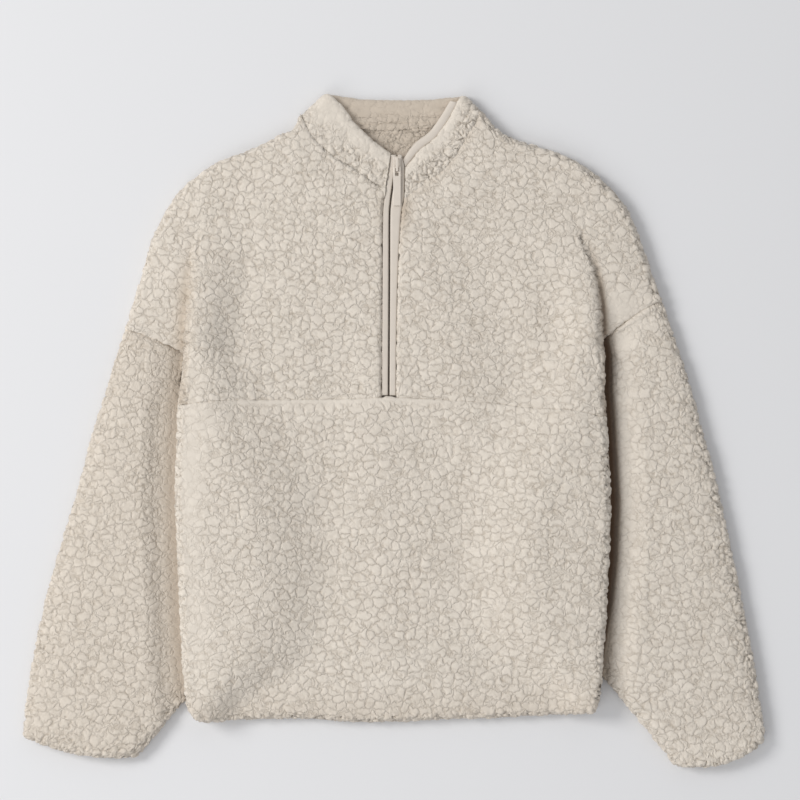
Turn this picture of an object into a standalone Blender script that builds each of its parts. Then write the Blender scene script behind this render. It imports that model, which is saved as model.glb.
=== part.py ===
"""Half-zip pullover of plush fleece, laid flat on its back with the sleeves brought down beside the body.

All lengths in this file are millimetres, and solid() turns them into metres. +X is the right of the
laid garment, +Y runs up to the collar and +Z is up from the surface that it lies on. The origin is
under the middle of the whole garment, on that surface. Left and right are as seen from above.
"""
import bpy
import bmesh
import numpy as np

MM = 0.001
SEAM_GAP = 0.3
CORNER_CLEAR = 6.0
BACK_WALL = 8.0
FRONT_WALL = 9.0
COLLAR_WALL = 8.2
SLEEVE_WALL = 7.4
LAYER_GAP = 0.9
TUCKED_HEIGHT = 15.2
SLEEVE_CLEAR = 17.0
SLEEVE_EASE = 24.0
RING_POINTS = 28
TOP_POWER = 3.6
BOTTOM_POWER = 6.0
WIDEST_SHARE = 0.45
LIFT = 16.3
LOFT = 2.2
LOFT_EASE = 34.0
THINNEST = 0.9

SIDE_ROLL = (10.0, 8.0)
HEM_ROLL = (9.0, 7.6)
SEAM_ROLL = (6.0, 3.0)
ZIP_ROLL = (5.0, 3.0)
BACK_ROLL = (4.0, 3.4)
FOLD_ROLL = 12.0
FOLD_SHIFT = 7.0
FOLD_EASE = (64.0, 52.0)

# How the layers rise over the tucked sleeves: where the underarms are, and how soon each layer rises.
UNDERARM_RIGHT = 104.0
UNDERARM_LEFT = 89.0
UNDERARM_EASE = 36.0
BACK_RAMP = 24.0
FRONT_RAMP = (52.0, 50.0)
FRONT_LEAD = 3.0
RAMP_END = 7.0
SIDE_EASE = 5.0
ROLL_FADE = 34.0

ZIP_HALF_GAP = 8.2
FACING_TOP = 15.4
FACING_FOOT = 9.2
TAPE_SLOT = 0.9
TAPE_WALL = 1.4
TAPE_DEPTH = 2.8
TAPE_LEVEL_FROM = 250.0

SLIDER_AT = (3.9, 290.0)
SLIDER_WIDTH = 8.6
SLIDER_TOP = 302.0
SLIDER_FOOT = 284.0
SLIDER_PLATE = 1.6
BAIL_WIDTH = 2.4
BAIL_BAR = 1.4
TAB_WIDTH = 8.2
TAB_LENGTH = 42.0
TAB_WALL = 1.8
TAB_WINDOW = (3.6, 9.4)
TAB_TILT = 2.2

FLEECE = (0.62, 0.56, 0.48, 1.0)
SMOOTH_CLOTH = (0.66, 0.60, 0.52, 1.0)
LACQUER = (0.70, 0.64, 0.56, 1.0)

# Outlines, one point a row, columns x and y.
SHOULDER_RIGHT = (
    (97.4, 350.4), (107.0, 339.0), (119.0, 328.0), (135.9, 319.6), (177.7, 306.9), (204.1, 294.3),
    (225.0, 279.0), (248.1, 256.0), (263.5, 229.4), (278.9, 187.0), (294.3, 143.6),
)
ARMHOLE_RIGHT = ((294.3, 143.6), (277.4, 134.8), (261.5, 124.8), (246.3, 113.5), (232.0, 101.0))
SIDE_RIGHT = (
    (232.0, 101.0), (234.6, 83.0), (233.8, 45.0), (236.0, 14.0), (240.4, -75.0), (238.7, -141.0),
    (233.8, -192.0), (229.4, -243.0), (227.0, -285.0), (221.0, -307.0),
)
SHOULDER_LEFT = (
    (-99.5, 343.8), (-108.0, 333.0), (-123.8, 326.2), (-146.9, 313.5), (-193.1, 295.4), (-214.0, 281.5),
    (-233.0, 265.0), (-248.0, 244.8), (-262.4, 217.3), (-273.4, 181.0), (-284.4, 145.0), (-294.3, 112.0),
)
ARMHOLE_LEFT = ((-294.3, 112.0), (-277.7, 106.9), (-261.4, 100.9), (-245.5, 93.9), (-230.0, 86.0))
SIDE_LEFT = (
    (-230.0, 86.0), (-232.0, 56.0), (-236.0, 28.0), (-238.0, -34.0), (-238.8, -75.0), (-236.0, -141.0),
    (-232.7, -214.0), (-229.4, -269.0), (-226.0, -299.0), (-219.0, -314.0),
)
HEM = (
    (-219.0, -314.0), (-205.0, -318.3), (-150.0, -315.5), (-100.0, -315.0), (-45.0, -318.5), (5.0, -318.5),
    (60.0, -315.5), (120.0, -314.0), (180.0, -310.5), (212.0, -309.7), (221.0, -307.0),
)
CHEST_SEAM = (
    (-236.0, 28.0), (-190.0, 33.0), (-136.0, 33.6), (-48.0, 34.7), (-6.0, 36.4), (51.0, 34.0),
    (116.0, 29.6), (140.0, 25.9), (200.0, 22.0), (236.0, 14.0),
)
NECK_RIGHT = ((11.9, 257.0), (34.7, 273.0), (58.9, 292.0), (77.0, 318.0), (86.4, 335.0), (97.4, 350.4))
NECK_LEFT = ((-9.9, 259.0), (-36.9, 281.0), (-69.9, 302.0), (-89.7, 322.0), (-99.5, 343.8))
NECK_BACK = ((-99.5, 343.8), (-60.0, 333.0), (0.0, 328.0), (60.0, 335.0), (97.4, 350.4))
ZIP_LINE = (
    (3.9, 304.0), (2.5, 285.0), (-0.5, 271.0), (-2.5, 258.0), (-4.1, 244.0), (-4.4, 228.0), (-4.5, 170.0),
    (-5.2, 36.6),
)

# Shares of the yoke's side at which its shoulder ends and its armhole ends.
YOKE_BREAKS = (0.62, 0.80)

# The tapes' outer edges beside the collar's front ends, columns x and y.
TAPE_TOP_LEFT = ((-8.8, 262.0), (-2.7, 304.0))
TAPE_TOP_RIGHT = ((12.0, 260.0), (12.2, 289.5), (9.8, 299.5), (9.2, 304.0))

# Where the body's side stands proud of the sleeve as a fold, columns x and y.
FOLD_RIGHT = ((203.0, 240.0), (206.0, 215.0), (218.0, 188.0), (224.0, 160.0), (229.0, 122.0), (234.0, 90.0))
FOLD_LEFT = (
    (-206.0, 250.0), (-213.0, 222.0), (-221.0, 195.0), (-224.0, 166.7), (-227.5, 128.0), (-231.5, 75.0),
)

# How far the fold has risen, columns y and share of LIFT.
FOLD_RISE = ((-60.0, 1.0), (110.0, 1.0), (140.0, 0.82), (175.0, 0.45), (205.0, 0.14), (235.0, 0.0))

# Soft rolls and hollows of the front, columns top x, top y, foot x, foot y, half width, height.
ROLLS = (
    (-62.0, 70.0, -86.0, -250.0, 30.0, -1.9),
    (-24.0, 60.0, -2.0, -250.0, 30.0, 1.5),
    (30.0, 190.0, 92.0, 0.0, 24.0, 1.7),
    (88.0, 200.0, 148.0, 30.0, 30.0, -2.0),
    (48.0, -20.0, 92.0, -210.0, 28.0, -1.5),
    (158.0, 170.0, 150.0, -160.0, 30.0, 1.3),
    (-172.0, 250.0, -160.0, 170.0, 26.0, -1.7),
    (100.0, -262.0, 205.0, -270.0, 26.0, -1.9),
)

# Sleeve rings from armhole to cuff, columns outer x, outer y, inner x, inner y, height, bow along the arm.
SLEEVE_RIGHT = (
    (294.8, 142.9, 232.6, 100.1, 17.6, 3.0),
    (309.7, 100.7, 237.2, 62.0, 18.6, -2.0),
    (324.0, 55.6, 222.0, 24.0, 20.2, -3.0),
    (339.0, 3.0, 190.0, -34.0, 21.4, -3.0),
    (354.5, -55.0, 171.0, -92.0, 21.8, -3.0),
    (366.5, -110.0, 168.0, -152.0, 21.8, -4.0),
    (377.3, -160.0, 180.0, -205.0, 21.8, -5.0),
    (386.5, -206.0, 206.0, -244.0, 21.6, -6.0),
    (395.5, -251.0, 238.2, -278.0, 21.2, -8.0),
    (402.0, -293.0, 272.3, -320.0, 20.8, -9.0),
    (407.2, -328.0, 300.0, -354.5, 20.2, -10.0),
    (406.0, -343.0, 311.0, -368.0, 18.4, -10.0),
)
SLEEVE_LEFT = (
    (-294.6, 111.2, -230.4, 85.1, 17.6, 2.0),
    (-305.3, 78.7, -233.8, 50.0, 18.6, -2.0),
    (-318.0, 36.0, -222.0, 8.0, 20.2, -3.0),
    (-331.5, -6.0, -196.0, -37.0, 21.4, -3.0),
    (-345.0, -58.0, -174.0, -95.0, 21.8, -3.0),
    (-360.0, -107.0, -166.0, -155.0, 21.8, -4.0),
    (-373.0, -152.0, -171.0, -212.0, 21.8, -5.0),
    (-386.0, -200.0, -190.0, -254.0, 21.6, -6.0),
    (-395.5, -247.0, -214.0, -280.0, 21.2, -8.0),
    (-401.5, -288.0, -238.0, -303.5, 20.8, -8.0),
    (-406.8, -322.0, -268.0, -341.5, 20.2, -8.0),
    (-407.4, -335.0, -283.0, -358.0, 18.4, -8.0),
)

# The collar band's front parts, columns seam x, seam y, top x, top y, from the zip to the side fold.
COLLAR_LEFT = (
    (-9.4, 260.4, -3.2, 305.5), (-36.9, 281.9, -23.7, 320.7), (-69.9, 303.0, -44.0, 342.0),
)
COLLAR_RIGHT = (
    (12.4, 258.2, 13.4, 291.0), (34.7, 274.0, 29.0, 310.0), (58.6, 293.0, 46.0, 323.0),
    (77.6, 320.0, 59.5, 341.0),
)
# The side folds on the outline, columns x, y, way in along the front x and y, and along the back x and y.
COLLAR_FOLD_LEFT = ((-98.4, 346.4, 0.50, -0.87, 0.97, -0.20), (-70.0, 371.0, 0.90, -0.44, 0.99, -0.12))
COLLAR_FOLD_RIGHT = ((96.2, 352.6, -0.62, -0.78, -0.94, -0.30), (79.0, 369.5, -0.86, -0.50, -0.99, -0.12))
# The back part between the folds, from left to right.
COLLAR_BACK = ((-60.0, 333.8, -36.0, 365.5), (0.0, 328.8, 2.0, 364.6), (60.0, 335.8, 42.0, 365.5))
COLLAR_TAPER = ((0.0, 0.62), (0.06, 1.0), (0.35, 1.0), (0.65, 1.0), (0.84, 0.95), (0.95, 0.74), (1.0, 0.34))

# The strip inside the right front edge of the collar, columns outer x, outer y, inner x, inner y.
FACING = (
    (12.7, 291.6, 10.4, 299.5), (28.3, 310.6, 23.0, 316.8), (45.3, 323.6, 39.2, 329.4),
    (58.6, 341.9, 51.4, 345.8), (66.2, 355.4, 58.9, 358.0), (69.6, 361.6, 62.5, 363.4),
)


def along(points, share):
    """Points of a smooth line through POINTS, at the fractions SHARE of its length."""
    rows = np.array(points, float)
    ends = np.vstack([2 * rows[0] - rows[1], rows, 2 * rows[-1] - rows[-2]])
    step = np.linspace(0, 1, 12, endpoint=False)[:, None]
    fine = []
    for a, b, c, d in zip(ends[:-3], ends[1:-2], ends[2:-1], ends[3:]):
        fine.append(0.5 * (2 * b + (c - a) * step + (2 * a - 5 * b + 4 * c - d) * step ** 2
                           + (3 * b - a - 3 * c + d) * step ** 3))
    fine = np.vstack(fine + [rows[-1:]])
    length = np.concatenate([[0], np.cumsum(np.linalg.norm(np.diff(fine[:, :2], axis=0), axis=1))])
    share = np.clip(share, 0, 1) * length[-1]
    return np.stack([np.interp(share, length, fine[:, k]) for k in range(rows.shape[1])], axis=-1)


def chain(lines, breaks):
    """A function that walks LINES one after the other, turning into each next one at its break."""
    def at(share):
        share = np.asarray(share, float)
        found = along(lines[0], share / breaks[0])
        for points, low, high in zip(lines[1:], breaks, breaks[1:] + (1.0,)):
            found = np.where((share > low)[..., None], along(points, (share - low) / (high - low)), found)
        return found
    return at


def line(points):
    """The smooth line through POINTS as a function of its share."""
    return lambda share: along(points, share)


def smooth(x):
    """An even S from 0 to 1."""
    x = np.clip(x, 0, 1)
    return x * x * (3 - 2 * x)


def coons(top, bottom, left, right, u, v):
    """The patch between four edges that meet at its corners, at the shares U across and V down."""
    a, b = top(0.0), top(1.0)
    c, d = bottom(0.0), bottom(1.0)
    u1, v1 = u[..., None], v[..., None]
    return ((1 - v1) * top(u) + v1 * bottom(u) + (1 - u1) * left(v) + u1 * right(v)
            - (1 - u1) * (1 - v1) * a - u1 * (1 - v1) * b - (1 - u1) * v1 * c - u1 * v1 * d)


def ridge(roll):
    """Distances in from an edge at which its quarter round of radius ROLL is cut into strips."""
    return np.array([0.0, 0.134, 0.5, 1.0]) * roll


def drop(distance, roll):
    """How far an edge has rounded down at DISTANCE in from it: a quarter ellipse, ROLL = (width, depth)."""
    width, depth = roll
    inside = np.clip(1 - distance / width, 0, 1)
    return depth * (1 - np.sqrt(1 - inside ** 2))


def edge_distance(points, x, y):
    """Signed distance from the line through POINTS, positive on its left as it is walked."""
    dense = along(points, np.linspace(0, 1, 60))
    a, b = dense[:-1], dense[1:]
    p = np.stack([x, y], axis=-1)[..., None, :]
    run = b - a
    t = np.clip(((p - a) * run).sum(-1) / (run ** 2).sum(-1), 0, 1)
    away = p - a - t[..., None] * run
    far = np.linalg.norm(away, axis=-1)
    near = far.argmin(axis=-1)[..., None]
    cross = run[:, 0] * away[..., 1] - run[:, 1] * away[..., 0]
    sign = np.where(np.take_along_axis(cross, near, -1) >= 0, 1.0, -1.0)[..., 0]
    return sign * np.take_along_axis(far, near, -1)[..., 0]


def inner_line(rings):
    """The tucked inner edge of a sleeve, run on past the cuff."""
    rows = np.array(rings)[:, 2:4]
    return np.vstack([rows, 2 * rows[-1] - rows[-3]])


def under_sleeve(x, y, ramp, lead=0.0):
    """Share of LIFT that a layer has over the tucked sleeves. It rises over RAMP before their edge, and
    along the side over the first stretch below the underarm, LEAD above the layer beneath."""
    share = np.zeros_like(x)
    for rings, sign, top in ((SLEEVE_RIGHT, 1, UNDERARM_RIGHT), (SLEEVE_LEFT, -1, UNDERARM_LEFT)):
        into = sign * edge_distance(inner_line(rings), x, y)
        rise = smooth((top + lead - y) / UNDERARM_EASE)
        side = np.where(sign * x > 0, smooth((into + ramp) / (ramp - RAMP_END)) * rise, 0)
        share = np.maximum(share, side)
    return share * smooth(1 - side_reach(x, y) / SIDE_EASE)


def fold_distance(x, y):
    """Distance out past the fold line on either side, negative on the body's side of it."""
    right = x - np.interp(-y, [-q for _, q in FOLD_RIGHT], [p for p, _ in FOLD_RIGHT])
    left = np.interp(-y, [-q for _, q in FOLD_LEFT], [p for p, _ in FOLD_LEFT]) - x
    return np.where(x > 0, right, left)


def fold_share(x, y, shift):
    """Share of LIFT of the body's standing side above the underarm, with its step moved in by SHIFT."""
    past = fold_distance(x, y)
    rise = np.interp(y, [row[0] for row in FOLD_RISE], [row[1] for row in FOLD_RISE])
    crest = np.clip((past + shift + FOLD_ROLL) / FOLD_ROLL, 0, 1)
    return rise * smooth((past + FOLD_EASE[0]) / FOLD_EASE[1]) * np.sqrt(1 - crest ** 2)


def rim_distance(x, y):
    """Distance in from the body's outline."""
    outline = (SHOULDER_RIGHT, ARMHOLE_RIGHT, SIDE_RIGHT, SHOULDER_LEFT, ARMHOLE_LEFT, SIDE_LEFT, HEM,
               NECK_RIGHT, NECK_LEFT)
    return np.min([np.abs(edge_distance(points, x, y)) for points in outline], axis=0)


def roll_height(x, y):
    """Sum of the soft rolls: each a bell across its line that fades beyond both ends."""
    height = np.zeros_like(x)
    for x0, y0, x1, y1, half, rise in ROLLS:
        run = np.array([x1 - x0, y1 - y0])
        size = np.hypot(*run)
        t = ((x - x0) * run[0] + (y - y0) * run[1]) / size ** 2
        off = ((x - x0) * run[1] - (y - y0) * run[0]) / size
        beyond = np.maximum(np.maximum(-t, t - 1), 0) * size
        height += rise * np.exp(-(off / half) ** 2 - (beyond / ROLL_FADE) ** 2)
    return height


def back_under(x, y):
    """Underside of the back."""
    return LIFT * under_sleeve(x, y, BACK_RAMP)


def front_under(x, y, shift=0.0):
    """Underside of the front. Its outside is a wall above the same form with the fold not shifted. The
    ramp to the sleeves is narrower near the hem, where the body lies on less of them."""
    ramp = FRONT_RAMP[0] + FRONT_RAMP[1] * smooth((y - HEM[-1][1]) / 90.0)
    lift = LIFT * (1 - (1 - fold_share(x, y, shift)) * (1 - under_sleeve(x, y, ramp, FRONT_LEAD)))
    puff = np.maximum(LOFT + roll_height(x, y), 0) * smooth(rim_distance(x, y) / LOFT_EASE)
    return BACK_WALL + LAYER_GAP + lift + puff


def front_over(x, y):
    """Top of the front before its edges round off."""
    return front_under(x, y) + FRONT_WALL


def material(name, colour, roughness):
    """A plain material of one colour."""
    new = bpy.data.materials.new(name)
    new.use_nodes = True
    shader = new.node_tree.nodes["Principled BSDF"]
    shader.inputs["Base Color"].default_value = colour
    shader.inputs["Roughness"].default_value = roughness
    shader.inputs["Metallic"].default_value = 0.0
    return new


def solid(name, points, faces, colour, roughness, origin=(0.0, 0.0, 0.0)):
    """An object from points in millimetres, its faces turned out and its origin at ORIGIN."""
    mesh = bpy.data.meshes.new(name)
    own = (np.asarray(points, float) - np.asarray(origin)) * MM
    mesh.from_pydata(own.tolist(), [], [tuple(int(k) for k in face) for face in faces])
    work = bmesh.new()
    work.from_mesh(mesh)
    bmesh.ops.recalc_face_normals(work, faces=work.faces)
    work.to_mesh(mesh)
    work.free()
    mesh.materials.append(material(name, colour, roughness))
    mesh.shade_smooth()
    mesh.set_sharp_from_angle(angle=0.7)
    made = bpy.data.objects.new(name, mesh)
    made.location = tuple(k * MM for k in origin)
    bpy.context.scene.collection.objects.link(made)
    return made


def wall_faces(rows, columns):
    """Quads of an outer and an inner grid of ROWS by COLUMNS points, and of the four rims between."""
    index = np.arange(rows * columns).reshape(rows, columns)
    quads = np.stack([index[:-1, :-1], index[1:, :-1], index[1:, 1:], index[:-1, 1:]], -1).reshape(-1, 4)
    inner = quads[:, ::-1] + rows * columns
    ring = np.concatenate([index[0, :], index[1:, -1], index[-1, -2::-1], index[-2:0:-1, 0]])
    turned = np.roll(ring, -1)
    rims = np.stack([ring, turned, turned + rows * columns, ring + rows * columns], -1)
    return np.vstack([quads, inner, rims])


def slab(name, plan, over, under, colour=FLEECE, roughness=0.95):
    """A cloth wall between the heights OVER and UNDER above the plan grid."""
    rows, columns = over.shape
    outer = np.dstack([plan, over]).reshape(-1, 3)
    inner = np.dstack([plan, np.minimum(under, over - THINNEST)]).reshape(-1, 3)
    return solid(name, np.vstack([outer, inner]), wall_faces(rows, columns), colour, roughness)


def spread(length, start, end, inner):
    """Shares of LENGTH at the distances START from one end and END from the other, evenly between."""
    length = np.asarray(length)[:, None]
    low = start / length
    high = 1 - end[:, ::-1] / length
    between = np.linspace(0, 1, inner + 2)[1:-1]
    middle = low[:, -1:] + (high[:, :1] - low[:, -1:]) * between
    return np.hstack([low, middle, high])


def row_length(patch, at, across):
    """Length of each row of the patch, or of each column where ACROSS is false."""
    many = np.linspace(0, 1, 60)
    u, v = (np.meshgrid(many, at) if across else np.meshgrid(at, many))
    step = np.diff(patch(u, v), axis=1 if across else 0)
    return np.linalg.norm(step, axis=-1).sum(axis=1 if across else 0)


def fold_marks(patch, rows, outer_share):
    """Distances in from the outer edge of each row at which the grid follows the edge and the fold. Where
    a row meets no fold, its marks go on at a usual width."""
    nearest, usual, farthest = 14.0, 30.0, 74.0
    marks = []
    for v in rows:
        u = np.linspace(outer_share, 1 - outer_share, 200)
        p = patch(u, np.full(200, v))
        past = fold_distance(p[:, 0], p[:, 1])
        run = np.concatenate([[0], np.cumsum(np.linalg.norm(np.diff(p, axis=0), axis=1))])
        inside = np.nonzero(past < 0)[0]
        width = np.clip(run[inside[0]], nearest, farthest) if len(inside) else usual
        edge = SIDE_ROLL[0]
        steps = np.array([0.0, 1.4, 6.0, 12.0])
        marks.append(np.concatenate([ridge(edge), [(edge + width) / 2], width + steps]))
    return np.array(marks)


def upper_panel(name, patch, rows, outer_share, inner):
    """A yoke half. Its grid follows the zip edge, the outer edge and the standing fold."""
    length = row_length(patch, rows, True)
    outer = fold_marks(patch, rows, outer_share)
    zip_side = np.tile(ridge(ZIP_ROLL[0]), (len(rows), 1))
    start, end = (zip_side, outer) if outer_share else (outer, zip_side)
    u = spread(length, start, end, inner)
    tall = row_length(patch, u[len(rows) // 2], False)
    v = rows[:, None] + 0 * u
    near = ridge(SEAM_ROLL[0])[:, None]
    v[:4] = near / tall
    v[-4:] = 1 - near[::-1] / tall
    plan = patch(u, v)
    x, y = plan[..., 0], plan[..., 1]
    outer_way = (1 - u if outer_share else u) * length[:, None]
    zip_way = (u if outer_share else 1 - u) * length[:, None]
    armhole = (YOKE_BREAKS[0] + YOKE_BREAKS[1]) / 2, (YOKE_BREAKS[1] - YOKE_BREAKS[0]) / 2
    rolled = smooth(np.abs(rows - armhole[0]) / armhole[1] - 0.5)[:, None]
    depth = SEAM_ROLL[1] + (SIDE_ROLL[1] - SEAM_ROLL[1]) * rolled
    side = drop(outer_way, (SIDE_ROLL[0], 1.0)) * depth
    seams = np.maximum(drop(v * tall, SEAM_ROLL), drop((1 - v) * tall, SEAM_ROLL))
    over = front_over(x, y) - np.maximum(np.maximum(side, seams), drop(zip_way, ZIP_ROLL))
    return slab(name, plan, over, np.minimum(front_under(x, y, FOLD_SHIFT), front_under(x, y)))


def fronts():
    """The two yoke halves, from the neck to the chest seam and from the zip to the body's side."""
    ends = ridge(SEAM_ROLL[0]) / 220
    rows = np.concatenate([ends, np.linspace(0.09, YOKE_BREAKS[0], 8), [0.665, 0.71, 0.755, YOKE_BREAKS[1]],
                           [0.86, 0.92], 1 - ends[::-1]])
    seam_up = np.array([0.0, SEAM_GAP / 2])

    def right_patch(u, v):
        side = chain((SHOULDER_RIGHT, ARMHOLE_RIGHT, cut_above(SIDE_RIGHT, CHEST_SEAM[-1])), YOKE_BREAKS)
        low = chest_share(ZIP_LINE[-1][0] + ZIP_HALF_GAP)
        return coons(line(NECK_RIGHT), lambda s: along(CHEST_SEAM, low + (1 - low) * s) + seam_up,
                     zip_edge(NECK_RIGHT[0][1], 1), lambda s: side(s) + seam_up * s[..., None], u, v)

    def left_patch(u, v):
        side = chain((SHOULDER_LEFT, ARMHOLE_LEFT, cut_above(SIDE_LEFT, CHEST_SEAM[0])), YOKE_BREAKS)
        high = chest_share(ZIP_LINE[-1][0] - ZIP_HALF_GAP)
        return coons(line(NECK_LEFT[::-1]), lambda s: along(CHEST_SEAM, high * s) + seam_up,
                     lambda s: side(s) + seam_up * s[..., None], zip_edge(NECK_LEFT[0][1], -1), u, v)

    upper_panel("front_upper_right", right_patch, rows, 1, 9)
    upper_panel("front_upper_left", left_patch, rows, 0, 9)


def chest_share(x):
    """Share of the chest seam's length at which it reaches X."""
    share = np.linspace(0, 1, 400)
    return float(np.interp(x, along(CHEST_SEAM, share)[:, 0], share))


def cut_above(side, corner):
    """The rows of a body side from the underarm down to the chest seam's end."""
    return tuple(row for row in side if row[1] > corner[1] + CORNER_CLEAR) + (corner,)


def cut_below(side, corner):
    """The rows of a body side from the chest seam's end down to the hem."""
    return (corner,) + tuple(row for row in side if row[1] < corner[1] - CORNER_CLEAR)


def zip_edge(top, sign):
    """The yoke's edge along the zip, from the neck seam at height TOP down to the chest seam."""
    share = np.linspace(0, 1, 200)
    zipper = along(ZIP_LINE, share)
    start = float(np.interp(-top, -zipper[:, 1], share))
    foot = along(CHEST_SEAM, chest_share(ZIP_LINE[-1][0] + sign * ZIP_HALF_GAP)) + [0.0, SEAM_GAP / 2]
    head = np.array((NECK_RIGHT if sign > 0 else NECK_LEFT)[0])

    def at(s):
        s = np.asarray(s, float)
        p = along(ZIP_LINE, start + (1 - start) * s) + [sign * ZIP_HALF_GAP, 0.0]
        first = along(ZIP_LINE, start) + [sign * ZIP_HALF_GAP, 0.0]
        last = along(ZIP_LINE, 1.0) + [sign * ZIP_HALF_GAP, 0.0]
        return p + (head - first) * (1 - s)[..., None] ** 3 + (foot - last) * s[..., None]
    return at


def grid(patch, row_marks, column_marks, middle, inner_columns):
    """Plan points of a four-sided panel with strips at the marks and rows at the shares MIDDLE, and
    their distances from its four edges."""
    usual_height = 300.0
    rows = np.concatenate([row_marks[0] / usual_height, middle, 1 - row_marks[1][::-1] / usual_height])
    length = row_length(patch, rows, True)
    starts, ends = (np.tile(marks, (len(rows), 1)) for marks in column_marks)
    u = spread(length, starts, ends, inner_columns)
    tall = row_length(patch, u[len(rows) // 2], False)
    v = rows[:, None] + 0 * u
    v[:len(row_marks[0])] = row_marks[0][:, None] / tall
    v[-len(row_marks[1]):] = 1 - row_marks[1][::-1, None] / tall
    wide = length[:, None]
    return patch(u, v), u * wide, (1 - u) * wide, v * tall, (1 - v) * tall


def front_lower():
    """The front from the chest seam to the hem. Its sides leave half the seam's gap at their tops."""
    down = np.array([0.0, -SEAM_GAP / 2])

    def side(points):
        return lambda s: along(points, s) + down * (1 - np.asarray(s))[..., None]

    def patch(u, v):
        return coons(lambda s: along(CHEST_SEAM, s) + down, line(HEM),
                     side(cut_below(SIDE_LEFT, CHEST_SEAM[0])),
                     side(cut_below(SIDE_RIGHT, CHEST_SEAM[-1])), u, v)

    marks = ridge(SIDE_ROLL[0])
    plan, west, east, north, south = grid(patch, (ridge(SEAM_ROLL[0]), ridge(HEM_ROLL[0])), (marks, marks),
                                          np.linspace(0.09, 0.93, 11), 18)
    x, y = plan[..., 0], plan[..., 1]
    sides = np.maximum(drop(west, SIDE_ROLL), drop(east, SIDE_ROLL))
    ends = np.maximum(drop(north, SEAM_ROLL), drop(south, HEM_ROLL))
    slab("front_lower", plan, front_over(x, y) - np.maximum(sides, ends), front_under(x, y))


def back():
    """The back from the neck to the hem. It lies flat in the middle and rises over the tucked sleeves."""
    breaks = (0.38, 0.46)
    left = chain((SHOULDER_LEFT, ARMHOLE_LEFT, SIDE_LEFT), breaks)
    right = chain((SHOULDER_RIGHT, ARMHOLE_RIGHT, SIDE_RIGHT), breaks)

    def patch(u, v):
        return coons(line(NECK_BACK), line(HEM), left, right, u, v)

    narrow = np.array([0.0, 0.6, 2.0, 4.0])
    sides = np.concatenate([narrow, [22.0, 40.0, 56.0, 70.0, 84.0, 98.0]])
    rows = np.concatenate([[0.05, 0.11, 0.17, 0.23, 0.29, 0.34, 0.38, 0.42], np.linspace(0.46, 0.52, 6),
                           [0.55, 0.59, 0.64, 0.69, 0.74, 0.79, 0.84, 0.88, 0.92, 0.955]])
    plan, west, east, north, south = grid(patch, (narrow, narrow), (sides, sides), rows, 5)
    x, y = plan[..., 0], plan[..., 1]
    under = back_under(x, y)
    rim = np.max([drop(way, BACK_ROLL) for way in (west, east, south)], axis=0)
    slab("back", plan, under + BACK_WALL, under + rim)


def side_reach(x, y):
    """How far a point lies outside the body's side, or below its hem."""
    right = np.abs(x) - np.interp(-y, [-q for _, q in SIDE_RIGHT], [p for p, _ in SIDE_RIGHT])
    left = np.abs(x) - np.interp(-y, [-q for _, q in SIDE_LEFT], [-p for p, _ in SIDE_LEFT])
    return np.maximum(np.where(x > 0, right, left), HEM[0][1] - y)


def sleeve(name, rings, count):
    """A flat tube through the rings: a full round over a flat bottom, lower where the body lies on it.
    Each wall is a ring of superellipses, the outer one and one inset by the cloth's thickness."""
    ring = along(np.array(rings), np.linspace(0, 1, count))
    angle = 2 * np.pi * np.arange(RING_POINTS) / RING_POINTS
    walls = []
    for inset in (0.0, SLEEVE_WALL):
        outer, inner = ring[:, None, 0:2], ring[:, None, 2:4]
        across = (inner - outer) / np.linalg.norm(inner - outer, axis=-1, keepdims=True)
        half = np.linalg.norm(inner - outer, axis=-1) / 2 - inset
        cos, sin = np.cos(angle), np.sin(angle)
        power = np.where(sin >= 0, TOP_POWER, BOTTOM_POWER)
        plan_x = np.sign(cos) * np.abs(cos) ** (2 / power)
        arm = np.stack([-across[..., 1], across[..., 0]], -1)
        arm = arm * np.where(arm[..., 1:] > 0, 1.0, -1.0)
        bow = ring[:, None, 5:6] * (1 - plan_x[None, :, None] ** 2)
        plan = (outer + inner) / 2 + across * (half * plan_x)[..., None] + arm * bow
        height = ring[:, 4:5]
        low = np.minimum(height, TUCKED_HEIGHT)
        free = smooth((side_reach(plan[..., 0], plan[..., 1]) - SLEEVE_CLEAR) / SLEEVE_EASE)
        top = low + (height - low) * free - inset
        level = inset + WIDEST_SHARE * (np.minimum(top, low - inset) - inset)
        lift = np.where(sin >= 0, top - level, level - inset)
        tall = level + lift * np.sign(sin) * np.abs(sin) ** (2 / power)
        walls.append(np.dstack([plan, tall]))
    rows, columns = walls[0].shape[:2]
    index = np.arange(rows * columns).reshape(rows, columns)
    turned = np.roll(index, -1, axis=1)
    quads = np.stack([index[:-1], index[1:], turned[1:], turned[:-1]], -1).reshape(-1, 4)
    shift = rows * columns
    rims = [np.stack([end, np.roll(end, -1), np.roll(end, -1) + shift, end + shift], -1)
            for end in (index[0], index[-1])]
    faces = np.vstack([quads, quads[:, ::-1] + shift] + rims)
    solid(name, np.vstack([wall.reshape(-1, 3) for wall in walls]), faces, FLEECE, 0.95)


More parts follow.
